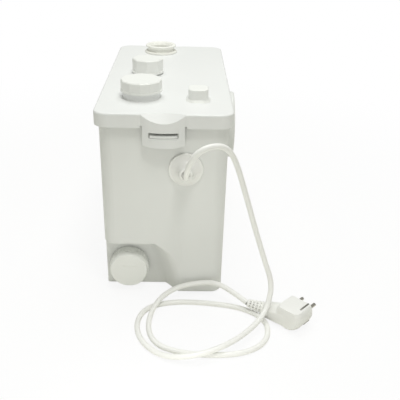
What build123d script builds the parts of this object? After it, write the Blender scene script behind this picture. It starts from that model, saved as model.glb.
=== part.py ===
from build123d import *
import os
import math

# Macerator toilet pump: a moulded tank under a lid, a motor with a cutter
# that hangs in it, inlets with screw caps, and a lead with an angled plug.
# Z is up from the floor. The near end, with the cable gland, is at -Y, and
# the toilet stands at the right side, +X. All sizes are in millimetres.

# Whole body
body_height = 267.0
body_width = 175.0
lid_length = 374.0
collar_proud = 12.5
collar_reach = body_width / 2 + collar_proud
tank_x = -collar_proud / 2
clear = 0.3
snug = 0.15
cut_over = 2.0

# Lid
lid_skirt = 18.0
lid_top = 3.0
lid_wall = 2.8
lid_corner = 18.0
lid_edge = 2.5
bulge_chord = 58.0
bulge_rise = 6.0
ramp_radius = 131.0
ramp_drop = 10.6
ramp_slope = 45.0

# Latches
latch_width = 52.8
latch_slit = 2.4
latch_drop = 3.0
latch_below = 24.8
latch_tip_rise = 2.5
latch_slot_width = 37.0
latch_slot_height = 7.0
latch_slot_below = 8.2
lug_width = 34.0
lug_height = 3.6

# Tank
lid_end_overhang = 6.5
lid_side_overhang = 5.0
tank_length = lid_length - 2 * lid_end_overhang
tank_width = body_width - 2 * lid_side_overhang
tank_wall = 3.0
tank_floor = 3.0
tank_corner = 17.0
tank_draft = 0.3
tank_foot_round = 2.5
gasket_thick = 2.5
gasket_lap = 1.2
recess_depth = 25.0
recess_top = 80.0
recess_inner_x = -1.0
recess_outer_x = 30.0
recess_round = 2.0

# Rubber feet
foot_proud = 1.5
foot_radius = 11.0
foot_peg_radius = 4.0
foot_peg_high = 1.0
foot_from_side = 24.5
foot_from_end = 54.5

# Screw caps and the necks they close
cap_wall = 2.6
cap_top = 2.5
disc_thick = 2.5
rib_count = 36
rib_wide = 1.8
rib_proud = 0.7
thread_gap = 0.4
neck_wall = 3.0
facet_round = 3.0
cap_ring_high = 2.2
cap_ring_proud = 0.3

front_neck_x = -31.5
front_neck_from_end = 72.0
front_neck_radius = 22.0
front_cap_radius = 27.1
front_facets = 12
front_collar_radius = 24.6
front_collar_high = 8.5
front_cap_high = 24.0

rear_neck_x = -30.0
rear_neck_y = 3.0
rear_neck_radius = 18.4
rear_cap_radius = 22.9
rear_facets = 8
rear_collar_radius = 20.0
rear_collar_high = 2.0
rear_cap_high = 22.5

side_neck_from_side = 33.3
side_neck_z = 35.0
side_neck_radius = 23.2
side_cap_radius = 26.7
side_face_radius = 24.4
side_cap_front = 22.0
side_cap_rim = 12.0
side_cap_gap = 1.0

# Outlet sleeve and riser
outlet_x = -16.0
outlet_from_end = 39.5
pipe_bore = 16.1
pipe_mouth_radius = 19.4
pipe_mouth_deep = 5.0
outlet_stop_radius = 14.0
outlet_stop_thick = 2.0
outlet_flange_radius = 26.5
outlet_flange_thick = 3.0
outlet_neck_radius = 21.5
outlet_lip_radius = 25.0
outlet_lip_thick = 4.4
outlet_high = 12.8
outlet_skirt = 20.0
outlet_skirt_radius = 19.6
outlet_bead = 1.4
riser_radius = 15.5
riser_wall = 3.0
riser_short = 6.0

# Vent
vent_x = 43.0
vent_from_end = 63.0
vent_side = 26.0
vent_corner = 8.0
vent_high = 16.0
vent_flare = 32.0
vent_flare_high = 3.0
vent_wall = 2.0
vent_seat_high = 5.0
vent_slot_high = 2.0
vent_slot_wide = 12.0
vent_slot_up = 5.0
vent_filter_high = 5.0

# Cable gland
gland_x = 28.3
gland_below = 57.0
gland_flange_radius = 22.5
gland_flange_thick = 2.5
gland_long = 24.5
gland_mouth_radius = 8.0
gland_shoulder_radius = 9.5
gland_shoulder = 9.0
gland_cone_edge = 20.0
gland_bore_radius = 5.0
gland_bore_deep = 3.0
gland_stub_radius = 9.0
gland_stub_long = 9.0
gland_nut_across = 26.0
gland_nut_thick = 5.0
seat_proud = 1.0
gland_seat_radius = 15.5

# Toilet inlet collar
collar_below = 59.0
collar_radius = 50.0
collar_wall = 3.5
collar_flange_radius = 56.0
collar_flange_thick = 3.5
collar_pad_radius = 58.5
collar_pad_rise = 1.5
collar_lip = 1.5
collar_lip_long = 3.0
collar_spigot_radius = 47.5
collar_spigot_long = 10.0
collar_seal_thick = 2.0
collar_screw_ring_radius = 53.0
collar_screw_radius = 1.6
collar_screw_head = 2.4
collar_screw_head_high = 1.6
collar_screw_long = 6.0
collar_screw_count = 6

# Basket, chute and suction plate
motor_from_end = 110.5
basket_radius = 52.0
basket_near_y = 4.0
basket_wall = 2.2
basket_top = 88.0
basket_rim = 4.0
basket_rim_high = 3.0
basket_slot_wide = 4.0
basket_slot_low = 16.0
basket_slot_high = 78.0
basket_slot_pitch = 9.4
basket_end_slots = 13
suction_radius = 58.0
suction_thick = 4.0
suction_eye = 16.0
chute_wall = 2.5
chute_half = 44.0
chute_under_collar = 4.5
chute_foot = 36.0
chute_lip = 16.0
chute_cheek = 14.0
chute_gap = 0.5

# Pump, motor and rotor
volute_high = 26.0
volute_radius = 50.0
volute_wall = 3.0
volute_top = 4.0
horn_width = 34.0
horn_start = 26.0
bracket_high = 10.0
bracket_radius = 46.0
bracket_foot_radius = 38.0
housing_radius = 46.0
housing_wall = 2.5
motor_room = 180.0
fin_count = 20
fin_wide = 2.4
fin_proud = 2.6
cover_high = 10.0
cover_round = 3.0
stator_bore_radius = 24.6
stator_low = 18.0
stator_room = 35.0
stator_slot_count = 12
winding_rise = 9.0
winding_outer = 38.0
winding_inner = 27.0
core_radius = 24.0
core_fan = 5.0
shaft_radius = 5.0
shaft_fit = 0.05
bearing_radius = 13.0
bearing_high = 8.0
seal_radius = 11.0
seal_high = 6.0
impeller_radius = 38.0
impeller_high = 14.0
impeller_lift = 3.0
impeller_plate = 2.5
impeller_hub = 10.0
vane_count = 6
vane_thick = 2.4
vane_bend = 12.0
blade_reach = 40.0
blade_wide = 16.0
blade_thick = 2.5
blade_z = 34.0
blade_tip_high = 22.0
blade_hub = 9.0
blade_hub_high = 8.0
nut_across = 13.0
nut_high = 6.0
shaft_end = 5.0
bolt_ring_radius = 41.0
bolt_radius = 2.0
bolt_head = 3.8
bolt_head_high = 3.0
bolt_sink = 5.0
bolt_count = 3
bolt_angle = 0.0

# Capacitor, terminals and inner lead
capacitor_radius = 15.0
capacitor_long = 65.0
capacitor_x = 21.0
capacitor_end = 3.0
capacitor_end_radius = 8.0
saddle_high = 7.0
saddle_long = 8.0
saddle_pitch = 44.0
saddle_wide = 26.0
saddle_bed = 2.0
terminal_x = -22.0
terminal_wide = 20.0
terminal_long = 42.0
terminal_high = 18.0
terminal_well = 3.2
terminal_well_deep = 6.0
terminal_pitch = 9.0
terminal_count = 4
terminal_lead_z = 9.0
lead_radius = 3.5

# Valve in the riser
valve_radius = 19.5
valve_chamber = 15.8
valve_seat_low = 4.0
valve_seat_high = 8.0
valve_seat_hole = 10.5
valve_high = 36.0
valve_neck_high = 12.0
valve_neck_wall = 2.4
flap_radius = 12.4
flap_thick = 2.0
flap_hinge = 13.6
flap_rod = 1.0
flap_arm = 6.0
clamp_wide = 9.0
clamp_thick = 1.2
clamp_up = 1.5
clamp_box = 8.0

# Pressure switch and air bell
bell_from_side = 8.5
bell_from_end = 84.5
bell_radius = 16.0
bell_wall = 2.5
bell_top = 150.0
bell_gate = 8.0
bell_gate_high = 12.0
dish_radius = 28.0
dish_high = 8.0
dish_wall = 2.5
switch_cover_high = 12.0
membrane_rim = 1.5
membrane_plate = 20.0
membrane_thick = 2.0
plunger_radius = 3.0
plunger_above = 7.0
membrane_travel = 3.0
micro_long = 28.0
micro_wide = 11.0
micro_high = 14.0
micro_post = 11.0
micro_post_wide = 5.0

# Lead outside and plug
cord_radius = 3.5
plug_radius = 19.5
plug_long = 33.4
plug_edge = 4.0
plug_face_edge = 1.2
plug_flat = 17.2
plug_flat_wide = 12.0
plug_heading = 46.2
plug_x = 166.1
plug_from_end = 68.5
pin_radius = 2.4
pin_long = 19.0
pin_pitch = 19.0
pin_root = 3.0
clip_wide = 7.0
clip_long = 22.0
clip_thick = 0.8
neck_root_x = 6.0
neck_root_wide = 25.0
neck_root_high = 27.0
neck_root_corner = 9.0
neck_root_back = 4.0
neck_end = (38.4, -3.5, -10.5)
neck_end_radius = 6.0
boot_end = (59.9, -1.1, -14.9)
boot_radius = 5.4
boot_tip_radius = 4.4
boot_rings = 6
boot_groove = 1.0

os.makedirs("parts", exist_ok=True)

# Heights and places that follow from the sizes above
near_wall_y = -tank_length / 2
lid_bottom = body_height - lid_skirt
lid_inside = body_height - lid_top
latch_tip = lid_bottom - latch_below
latch_slot_z = lid_bottom - latch_slot_below
collar_z = lid_bottom - collar_below
gland_z = lid_bottom - gland_below
gland_mouth_y = tank_length / 2 + gland_long
riser_top = lid_inside - riser_short
foot_x = tank_width / 2 - foot_from_side
foot_y = tank_length / 2 - foot_from_end
front_neck_y = front_neck_from_end - lid_length / 2
vent_y = vent_from_end - lid_length / 2
side_neck_x = side_neck_from_side - tank_width / 2
outlet_y = tank_length / 2 - outlet_from_end
motor_y = tank_length / 2 - motor_from_end
basket_reach = motor_y - basket_near_y
bell_x = tank_width / 2 - bell_from_side - dish_radius
bell_y = near_wall_y + bell_from_end
chute_top = collar_z - collar_spigot_radius - chute_under_collar
housing_high = body_height - motor_room
stator_high = housing_high - stator_room
tank_rim = lid_inside - gasket_thick
bulge_radius = (bulge_chord**2 / 4 + bulge_rise**2) / (2 * bulge_rise)
bulge_centre = lid_length / 2 + bulge_rise - bulge_radius
bulge_y = lid_length / 2 + bulge_rise
recess_y = tank_length / 2 - recess_depth
tank_inside = foot_proud + tank_floor
volute_bottom = basket_top + suction_thick
volute_roof = volute_bottom + volute_high
housing_bottom = volute_roof + bracket_high
cover_bottom = housing_bottom + housing_high
cover_top = cover_bottom + cover_high
lower_bearing_z = housing_bottom - bearing_high
upper_bearing_z = cover_bottom - bearing_high
stator_bottom = housing_bottom + stator_low
stator_top = stator_bottom + stator_high


def flat(height, x=0.0, y=0.0):
    """Level plane, measured from the middle of the tank."""
    return Plane(origin=(tank_x + x, y, height))


def downward(height, x=0.0, y=0.0):
    """Level plane whose normal points down."""
    return Plane(origin=(tank_x + x, y, height), x_dir=(1, 0, 0), z_dir=(0, 0, -1))


def end_view(y, x=0.0, height=0.0):
    """Upright plane seen from the near end: local x is X, local y is Z."""
    return Plane(origin=(tank_x + x, y, height), x_dir=(1, 0, 0), z_dir=(0, -1, 0))


def side_view(x, y=0.0, height=0.0):
    """Upright plane seen from the right side: local x is Y, local y is Z."""
    return Plane(origin=(tank_x + x, y, height), x_dir=(0, 1, 0), z_dir=(1, 0, 0))


def upright_axis(x, y):
    return Axis((tank_x + x, y, 0), (0, 0, 1))


def section(plane, points):
    """Half-section of a turned piece, drawn on a plane through its axis."""
    with BuildSketch(plane) as half:
        with BuildLine():
            Polyline(*points, close=True)
        make_face()
    return half.sketch


def turned(x, y, points):
    """Half-section (radius, height) for an upright axis at x, y."""
    return section(end_view(y, x), points)


def end_turned(x, height, points):
    """Half-section (radius, distance from the middle) for an axis along Y."""
    plane = Plane(origin=(tank_x + x, 0, height), x_dir=(1, 0, 0), z_dir=(0, 0, -1))
    return section(plane, points)


def end_axis(x, height):
    return Axis((tank_x + x, 0, height), (0, 1, 0))


# Tank. The foot of each end is recessed on the left for a low inlet: the
# recess closes on its right with two tangent arcs, and the wall follows it.
def recess(grow):
    with BuildSketch(flat(-cut_over)) as outline:
        with BuildLine():
            start = (recess_inner_x, -recess_y)
            middle = ((recess_inner_x + recess_outer_x) / 2, -recess_y - recess_depth / 2)
            finish = (recess_outer_x, -tank_length / 2)
            TangentArc(start, middle, tangent=(1, 0))
            TangentArc(finish, middle, tangent=(-1, 0))
            Polyline(
                finish,
                (recess_outer_x, -tank_length / 2 - cut_over),
                (-tank_width, -tank_length / 2 - cut_over),
                (-tank_width, -recess_y),
                start,
            )
        make_face()
        if grow:
            offset(amount=grow)
    with BuildPart() as hollow:
        extrude(outline.sketch, amount=recess_top + cut_over + grow)
        mirror(about=Plane.XZ)
    return hollow.part


def tank_block(inset, top, bottom):
    with BuildPart() as block:
        with BuildSketch(downward(top)):
            RectangleRounded(tank_width - 2 * inset, tank_length - 2 * inset, tank_corner - inset)
        extrude(amount=top - bottom, taper=tank_draft)
    return block.part


with BuildPart() as cavity:
    add(tank_block(tank_wall, tank_rim, tank_inside))
    add(recess(tank_wall), mode=Mode.SUBTRACT)

side_neck_front = recess_y + side_cap_front - cap_top - disc_thick
lug_plane = flat(latch_slot_z - latch_slot_height / 2 + clear)
collar_seat_x = tank_width / 2 + collar_pad_rise
gland_inner_y = tank_length / 2 - tank_wall - seat_proud

with BuildPart() as tank:
    add(tank_block(0, tank_rim, foot_proud))
    fillet(tank.faces().sort_by(Axis.Z)[0].edges(), tank_foot_round)
    # Round pad for the toilet collar and flat for the gland
    with BuildSketch(side_view(tank_width / 2 - tank_wall, 0, collar_z)):
        Circle(collar_pad_radius)
    extrude(amount=tank_wall + collar_pad_rise, taper=tank_draft)
    with BuildSketch(end_view(-tank_length / 2 + tank_wall, gland_x, gland_z)):
        Circle(gland_flange_radius)
    extrude(amount=tank_wall)
    # Lugs that the latches catch
    with BuildSketch(lug_plane):
        with Locations((0, bulge_centre), (0, -bulge_centre)):
            Circle(bulge_radius - lid_wall - clear)
        Rectangle(lug_width, 2 * bulge_y, mode=Mode.INTERSECT)
    extrude(amount=lug_height)
    add(recess(0), mode=Mode.SUBTRACT)
    add(cavity.part, mode=Mode.SUBTRACT)
    # Seat of the gland nut inside
    with BuildSketch(end_view(-gland_inner_y, gland_x, gland_z)):
        Circle(gland_seat_radius)
    extrude(amount=seat_proud + tank_wall / 2)
    # Low inlets in the recesses
    with BuildSketch(end_view(-recess_y + tank_wall / 2, side_neck_x, side_neck_z)):
        Circle(side_neck_radius)
    extrude(amount=side_neck_front - recess_y + tank_wall / 2)
    with BuildSketch(end_view(recess_y - tank_wall / 2, side_neck_x, side_neck_z)):
        Circle(side_neck_radius)
    extrude(amount=-(side_neck_front - recess_y + tank_wall / 2))
    with BuildSketch(end_view(0, side_neck_x, side_neck_z)):
        Circle(side_neck_radius - neck_wall)
    extrude(amount=tank_length, both=True, mode=Mode.SUBTRACT)
    # Holes for the toilet collar and the gland
    with BuildSketch(side_view(tank_width / 2 - 2 * tank_wall, 0, collar_z)):
        Circle(collar_spigot_radius + clear)
    extrude(amount=4 * tank_wall, mode=Mode.SUBTRACT)
    with BuildSketch(side_view(collar_seat_x, 0, collar_z)):
        with PolarLocations(collar_screw_ring_radius, collar_screw_count):
            Circle(collar_screw_radius)
    extrude(amount=-(collar_screw_long - collar_flange_thick - collar_seal_thick), mode=Mode.SUBTRACT)
    with BuildSketch(end_view(-gland_inner_y + cut_over, gland_x, gland_z)):
        Circle(gland_stub_radius + snug)
    extrude(amount=4 * tank_wall, mode=Mode.SUBTRACT)
    # Sockets of the rubber feet
    with BuildSketch(flat(foot_proud)):
        with GridLocations(2 * foot_x, 2 * foot_y, 2, 2):
            Circle(foot_peg_radius + snug)
    extrude(amount=foot_peg_high + snug, mode=Mode.SUBTRACT)
tank.part.label = "tank"
export_step(tank.part, "parts/tank.step")

with BuildPart() as rubber_feet:
    with BuildSketch(flat(0)):
        with GridLocations(2 * foot_x, 2 * foot_y, 2, 2):
            Circle(foot_radius)
    extrude(amount=foot_proud)
    with BuildSketch(flat(foot_proud)):
        with GridLocations(2 * foot_x, 2 * foot_y, 2, 2):
            Circle(foot_peg_radius)
    extrude(amount=foot_peg_high)
rubber_feet.part.label = "rubber_feet"
export_step(rubber_feet.part, "parts/rubber_feet.step")

with BuildPart() as lid_gasket:
    with BuildSketch(flat(tank_rim)):
        RectangleRounded(tank_width, tank_length, tank_corner)
        RectangleRounded(
            tank_width - 2 * (tank_wall + gasket_lap),
            tank_length - 2 * (tank_wall + gasket_lap),
            tank_corner - tank_wall - gasket_lap,
            mode=Mode.SUBTRACT,
        )
    extrude(amount=gasket_thick)
lid_gasket.part.label = "lid_gasket"
export_step(lid_gasket.part, "parts/lid_gasket.step")


# Lid. Its ends bulge out over the latches, and a thumb ramp runs down each
# bulge: a wide cylinder whose axis slopes away from the lid.
def lid_outline(height, inset):
    with BuildSketch(flat(height)) as outline:
        RectangleRounded(body_width - 2 * inset, lid_length - 2 * inset, lid_corner - inset)
        with Locations((0, bulge_centre), (0, -bulge_centre)):
            Circle(bulge_radius - inset)
    return outline.sketch


def ramp(grow):
    slope = math.radians(ramp_slope)
    top_y = bulge_y - ramp_drop / math.tan(slope)
    plane = Plane(
        origin=(tank_x, -top_y, body_height),
        x_dir=(1, 0, 0),
        z_dir=(0, -math.cos(slope), -math.sin(slope)),
    )
    with BuildPart() as cutter:
        with BuildSketch(plane):
            with Locations((0, ramp_radius)):
                Circle(ramp_radius + grow)
        extrude(amount=lid_skirt + bulge_rise, both=True)
        mirror(about=Plane.XZ)
    return cutter.part


with BuildPart() as lid_hollow:
    extrude(lid_outline(lid_bottom, lid_wall), amount=lid_skirt - lid_top)
    add(ramp(lid_wall), mode=Mode.SUBTRACT)

latch_top = lid_bottom + latch_drop
vent_seat_side = vent_side - 2 * vent_wall - 2 * clear

with BuildPart() as lid:
    extrude(lid_outline(lid_bottom, 0), amount=lid_skirt)
    fillet(lid.faces().sort_by(Axis.Z)[-1].outer_wire().edges(), lid_edge)
    add(ramp(0), mode=Mode.SUBTRACT)
    add(lid_hollow.part, mode=Mode.SUBTRACT)
    # Openings for the tongues
    with BuildSketch(flat(lid_bottom - cut_over)):
        with Locations((0, bulge_centre), (0, -bulge_centre)):
            Rectangle(latch_width + 2 * latch_slit, 2 * bulge_radius + cut_over)
        Rectangle(body_width, lid_length - 2 * lid_wall, mode=Mode.SUBTRACT)
    extrude(amount=latch_drop + cut_over, mode=Mode.SUBTRACT)
    # Necks of the two top inlets
    with BuildSketch(flat(lid_inside, front_neck_x, front_neck_y)):
        Circle(front_collar_radius)
    extrude(amount=lid_top + front_collar_high)
    with BuildSketch(flat(lid_inside, front_neck_x, front_neck_y)):
        Circle(front_neck_radius)
    extrude(amount=lid_top + front_cap_high - cap_top - disc_thick)
    with BuildSketch(flat(lid_inside, rear_neck_x, rear_neck_y)):
        Circle(rear_collar_radius)
    extrude(amount=lid_top + rear_collar_high)
    with BuildSketch(flat(lid_inside, rear_neck_x, rear_neck_y)):
        Circle(rear_neck_radius)
    extrude(amount=lid_top + rear_cap_high - cap_top - disc_thick)
    # Seat of the vent cap
    with BuildSketch(flat(lid_inside, vent_x, vent_y)):
        RectangleRounded(vent_seat_side, vent_seat_side, vent_corner - vent_wall)
    extrude(amount=lid_top + vent_seat_high)
    # Bores
    with BuildSketch(flat(lid_inside - cut_over, front_neck_x, front_neck_y)):
        Circle(front_neck_radius - neck_wall)
    extrude(amount=front_cap_high + lid_skirt, mode=Mode.SUBTRACT)
    with BuildSketch(flat(lid_inside - cut_over, rear_neck_x, rear_neck_y)):
        Circle(rear_neck_radius - neck_wall)
    extrude(amount=rear_cap_high + lid_skirt, mode=Mode.SUBTRACT)
    with BuildSketch(flat(lid_inside - cut_over, vent_x, vent_y)):
        RectangleRounded(
            vent_seat_side - 2 * vent_wall, vent_seat_side - 2 * vent_wall, vent_corner - 2 * vent_wall
        )
    extrude(amount=vent_high + lid_skirt, mode=Mode.SUBTRACT)
    with BuildSketch(flat(lid_inside - cut_over, outlet_x, outlet_y)):
        Circle(outlet_skirt_radius + clear)
    extrude(amount=lid_skirt, mode=Mode.SUBTRACT)
lid.part.label = "lid"
export_step(lid.part, "parts/lid.step")


# Latch tongue: a strip of the bulge's own curve with a slot for the lug and
# a bowed lower edge, made for the near end and mirrored for the far end.
def tongue():
    outer = bulge_radius
    with BuildPart() as strip:
        with BuildSketch(flat(latch_tip)):
            with Locations((0, -bulge_centre)):
                Circle(outer)
                Circle(outer - lid_wall, mode=Mode.SUBTRACT)
            with Locations((0, -bulge_y)):
                Rectangle(latch_width, 4 * bulge_rise, mode=Mode.INTERSECT)
        extrude(amount=latch_top - latch_tip)
        with BuildSketch(end_view(-bulge_y + 2 * bulge_rise)):
            with BuildLine():
                ThreePointArc(
                    (-latch_width / 2, latch_tip + latch_tip_rise),
                    (0, latch_tip),
                    (latch_width / 2, latch_tip + latch_tip_rise),
                )
                Polyline(
                    (latch_width / 2, latch_tip + latch_tip_rise),
                    (latch_width / 2, latch_top),
                    (-latch_width / 2, latch_top),
                    (-latch_width / 2, latch_tip + latch_tip_rise),
                )
            make_face()
            with Locations((0, latch_slot_z)):
                Rectangle(latch_slot_width, latch_slot_height, mode=Mode.SUBTRACT)
        extrude(amount=4 * bulge_rise, mode=Mode.INTERSECT)
    return strip.part


with BuildPart() as near_latch:
    add(tongue())
near_latch.part.label = "near_latch"
export_step(near_latch.part, "parts/near_latch.step")

with BuildPart() as far_latch:
    mirror(tongue(), about=Plane.XZ)
far_latch.part.label = "far_latch"
export_step(far_latch.part, "parts/far_latch.step")


# Screw caps of the lid: a grip with flat sides over a neck, on a round ring,
# and the loose blanking disc that the cap presses on the neck's mouth.
def top_cap(x, y, low, mouth, inner, outer, facets):
    with BuildPart() as cap:
        with BuildSketch(flat(low, x, y)):
            RegularPolygon(outer, facets)
            fillet(vertices(), facet_round)
        extrude(amount=mouth + disc_thick + cap_top - low)
        chamfer(cap.faces().sort_by(Axis.Z)[-1].edges(), cap_top / 2)
        with BuildSketch(flat(low, x, y)):
            Circle(outer + cap_ring_proud)
        extrude(amount=cap_ring_high)
        with BuildSketch(flat(low, x, y)):
            Circle(inner + thread_gap)
        extrude(amount=mouth + disc_thick - low, mode=Mode.SUBTRACT)
    return cap.part


front_mouth = body_height + front_cap_high - cap_top - disc_thick
front_cap_low = body_height + front_collar_high + clear

with BuildPart() as front_cap:
    add(
        top_cap(
            front_neck_x,
            front_neck_y,
            front_cap_low,
            front_mouth,
            front_neck_radius,
            front_cap_radius,
            front_facets,
        )
    )
front_cap.part.label = "front_cap"
export_step(front_cap.part, "parts/front_cap.step")

with BuildPart() as front_disc:
    with BuildSketch(flat(front_mouth, front_neck_x, front_neck_y)):
        Circle(front_neck_radius)
    extrude(amount=disc_thick)
front_disc.part.label = "front_disc"
export_step(front_disc.part, "parts/front_disc.step")

rear_mouth = body_height + rear_cap_high - cap_top - disc_thick
rear_cap_low = body_height + rear_collar_high + clear

with BuildPart() as rear_cap:
    add(
        top_cap(
            rear_neck_x,
            rear_neck_y,
            rear_cap_low,
            rear_mouth,
            rear_neck_radius,
            rear_cap_radius,
            rear_facets,
        )
    )
rear_cap.part.label = "rear_cap"
export_step(rear_cap.part, "parts/rear_cap.step")

with BuildPart() as rear_disc:
    with BuildSketch(flat(rear_mouth, rear_neck_x, rear_neck_y)):
        Circle(rear_neck_radius)
    extrude(amount=disc_thick)
rear_disc.part.label = "rear_disc"
export_step(rear_disc.part, "parts/rear_disc.step")


def ribs(plane, radius, length):
    with BuildSketch(plane) as teeth:
        with PolarLocations(radius, rib_count):
            Rectangle(2 * rib_proud, rib_wide)
    with BuildPart() as grip:
        extrude(teeth.sketch, amount=length)
    return grip.part


def low_cap():
    """Cap of a low inlet, for the near end: a ribbed rim, its front drawn in."""
    back = recess_y + side_cap_gap
    front = recess_y + side_cap_front
    inner = side_neck_radius + thread_gap
    with BuildPart() as cap:
        revolve(
            end_turned(
                side_neck_x,
                side_neck_z,
                [
                    (0, front - cap_top),
                    (inner, front - cap_top),
                    (inner, back),
                    (side_cap_radius, back),
                    (side_cap_radius, back + side_cap_rim),
                    (side_face_radius + cap_top / 2, front - cap_top / 2),
                    (side_face_radius, front),
                    (0, front),
                ],
            ),
            end_axis(side_neck_x, side_neck_z),
        )
        add(
            ribs(
                end_view(-(back + rib_proud), side_neck_x, side_neck_z),
                side_cap_radius,
                side_cap_rim,
            )
        )
    return cap.part


def low_disc():
    with BuildPart() as disc:
        with BuildSketch(end_view(-side_neck_front, side_neck_x, side_neck_z)):
            Circle(side_neck_radius)
        extrude(amount=disc_thick)
    return disc.part


with BuildPart() as near_cap:
    add(low_cap())
near_cap.part.label = "near_cap"
export_step(near_cap.part, "parts/near_cap.step")

with BuildPart() as near_disc:
    add(low_disc())
near_disc.part.label = "near_disc"
export_step(near_disc.part, "parts/near_disc.step")

with BuildPart() as far_cap:
    mirror(low_cap(), about=Plane.XZ)
far_cap.part.label = "far_cap"
export_step(far_cap.part, "parts/far_cap.step")

with BuildPart() as far_disc:
    mirror(low_disc(), about=Plane.XZ)
far_disc.part.label = "far_disc"
export_step(far_disc.part, "parts/far_disc.step")

# Outlet sleeve: a rubber spool that grips the lid between its flange and a
# bead, with a skirt that slides over the riser and a stop for the pipe.
pipe_stop_z = riser_top + clear + outlet_stop_thick

with BuildPart() as outlet_sleeve:
    revolve(
        turned(
            outlet_x,
            outlet_y,
            [
                (riser_radius + clear, lid_inside - outlet_skirt),
                (outlet_skirt_radius - outlet_bead, lid_inside - outlet_skirt),
                (outlet_skirt_radius + outlet_bead, lid_inside - outlet_bead),
                (outlet_skirt_radius + outlet_bead, lid_inside),
                (outlet_skirt_radius, lid_inside),
                (outlet_skirt_radius, body_height),
                (outlet_flange_radius, body_height),
                (outlet_flange_radius, body_height + outlet_flange_thick),
                (outlet_neck_radius, body_height + outlet_flange_thick),
                (outlet_neck_radius, body_height + outlet_high - outlet_lip_thick),
                (outlet_lip_radius, body_height + outlet_high - outlet_lip_thick / 2),
                (outlet_lip_radius, body_height + outlet_high - outlet_lip_thick / 4),
                (outlet_lip_radius - outlet_lip_thick / 4, body_height + outlet_high),
                (pipe_mouth_radius, body_height + outlet_high),
                (pipe_bore, body_height + outlet_high - pipe_mouth_deep),
                (pipe_bore, pipe_stop_z),
                (outlet_stop_radius, pipe_stop_z),
                (outlet_stop_radius, riser_top + clear),
                (riser_radius + clear, riser_top + clear),
            ],
        ),
        upright_axis(outlet_x, outlet_y),
    )
outlet_sleeve.part.label = "outlet_sleeve"
export_step(outlet_sleeve.part, "parts/outlet_sleeve.step")

# Vent cap: a small square hood with a flared foot and a slot in its left
# and right sides.
with BuildPart() as vent_cap:
    with BuildSketch(flat(body_height, vent_x, vent_y)):
        RectangleRounded(vent_flare, vent_flare, vent_corner + (vent_flare - vent_side) / 2)
    with BuildSketch(flat(body_height + vent_flare_high, vent_x, vent_y)):
        RectangleRounded(vent_side, vent_side, vent_corner)
    loft()
    with BuildSketch(flat(body_height + vent_flare_high, vent_x, vent_y)):
        RectangleRounded(vent_side, vent_side, vent_corner)
    extrude(amount=vent_high - vent_flare_high)
    fillet(vent_cap.faces().sort_by(Axis.Z)[-1].edges(), 3 * vent_wall / 4)
    with BuildSketch(flat(body_height, vent_x, vent_y)):
        RectangleRounded(
            vent_side - 2 * vent_wall, vent_side - 2 * vent_wall, vent_corner - vent_wall
        )
    extrude(amount=vent_high - vent_wall, mode=Mode.SUBTRACT)
    with BuildSketch(side_view(vent_x - vent_flare, vent_y, body_height + vent_slot_up)):
        with Locations((0, vent_slot_high / 2)):
            Rectangle(vent_slot_wide, vent_slot_high)
    extrude(amount=2 * vent_flare, mode=Mode.SUBTRACT)
vent_cap.part.label = "vent_cap"
export_step(vent_cap.part, "parts/vent_cap.step")

with BuildPart() as vent_filter:
    with BuildSketch(flat(body_height + vent_seat_high, vent_x, vent_y)):
        RectangleRounded(vent_seat_side, vent_seat_side, vent_corner - vent_wall)
    extrude(amount=vent_filter_high)
vent_filter.part.label = "vent_filter"
export_step(vent_filter.part, "parts/vent_filter.step")

# Toilet collar: a flanged ring screwed on the pad over a flat seal, with the
# heads of its screws sunk in the flange.
collar_back = collar_seat_x + collar_seal_thick


def collar_section(points):
    plane = Plane(origin=(tank_x, 0, collar_z), x_dir=(1, 0, 0), z_dir=(0, -1, 0))
    return section(plane, points)


collar_axis = Axis((tank_x, 0, collar_z), (1, 0, 0))
collar_bore = collar_radius - collar_wall

with BuildPart() as inlet_collar:
    revolve(
        collar_section(
            [
                (collar_seat_x - collar_spigot_long, collar_bore - clear),
                (collar_seat_x - collar_spigot_long, collar_spigot_radius),
                (collar_back, collar_spigot_radius),
                (collar_back, collar_flange_radius),
                (collar_back + collar_flange_thick, collar_flange_radius),
                (collar_back + collar_flange_thick, collar_radius),
                (collar_reach - 2 * collar_lip_long, collar_radius),
                (collar_reach - collar_lip_long, collar_radius),
                (collar_reach, collar_radius - collar_lip),
                (collar_reach, collar_bore - clear),
            ]
        ),
        collar_axis,
    )
    with BuildSketch(side_view(collar_back - cut_over, 0, collar_z)):
        with PolarLocations(collar_screw_ring_radius, collar_screw_count):
            Circle(collar_screw_radius + snug)
    extrude(amount=collar_flange_thick + 2 * cut_over, mode=Mode.SUBTRACT)
    with BuildSketch(side_view(collar_back + collar_flange_thick, 0, collar_z)):
        with PolarLocations(collar_screw_ring_radius, collar_screw_count):
            Circle(collar_screw_head + snug)
    extrude(amount=-collar_screw_head_high, mode=Mode.SUBTRACT)
inlet_collar.part.label = "inlet_collar"
export_step(inlet_collar.part, "parts/inlet_collar.step")

with BuildPart() as collar_seal:
    with BuildSketch(side_view(collar_seat_x, 0, collar_z)):
        Circle(collar_flange_radius)
        Circle(collar_spigot_radius + snug, mode=Mode.SUBTRACT)
        with PolarLocations(collar_screw_ring_radius, collar_screw_count):
            Circle(collar_screw_radius + snug, mode=Mode.SUBTRACT)
    extrude(amount=collar_seal_thick)
collar_seal.part.label = "collar_seal"
export_step(collar_seal.part, "parts/collar_seal.step")

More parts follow.
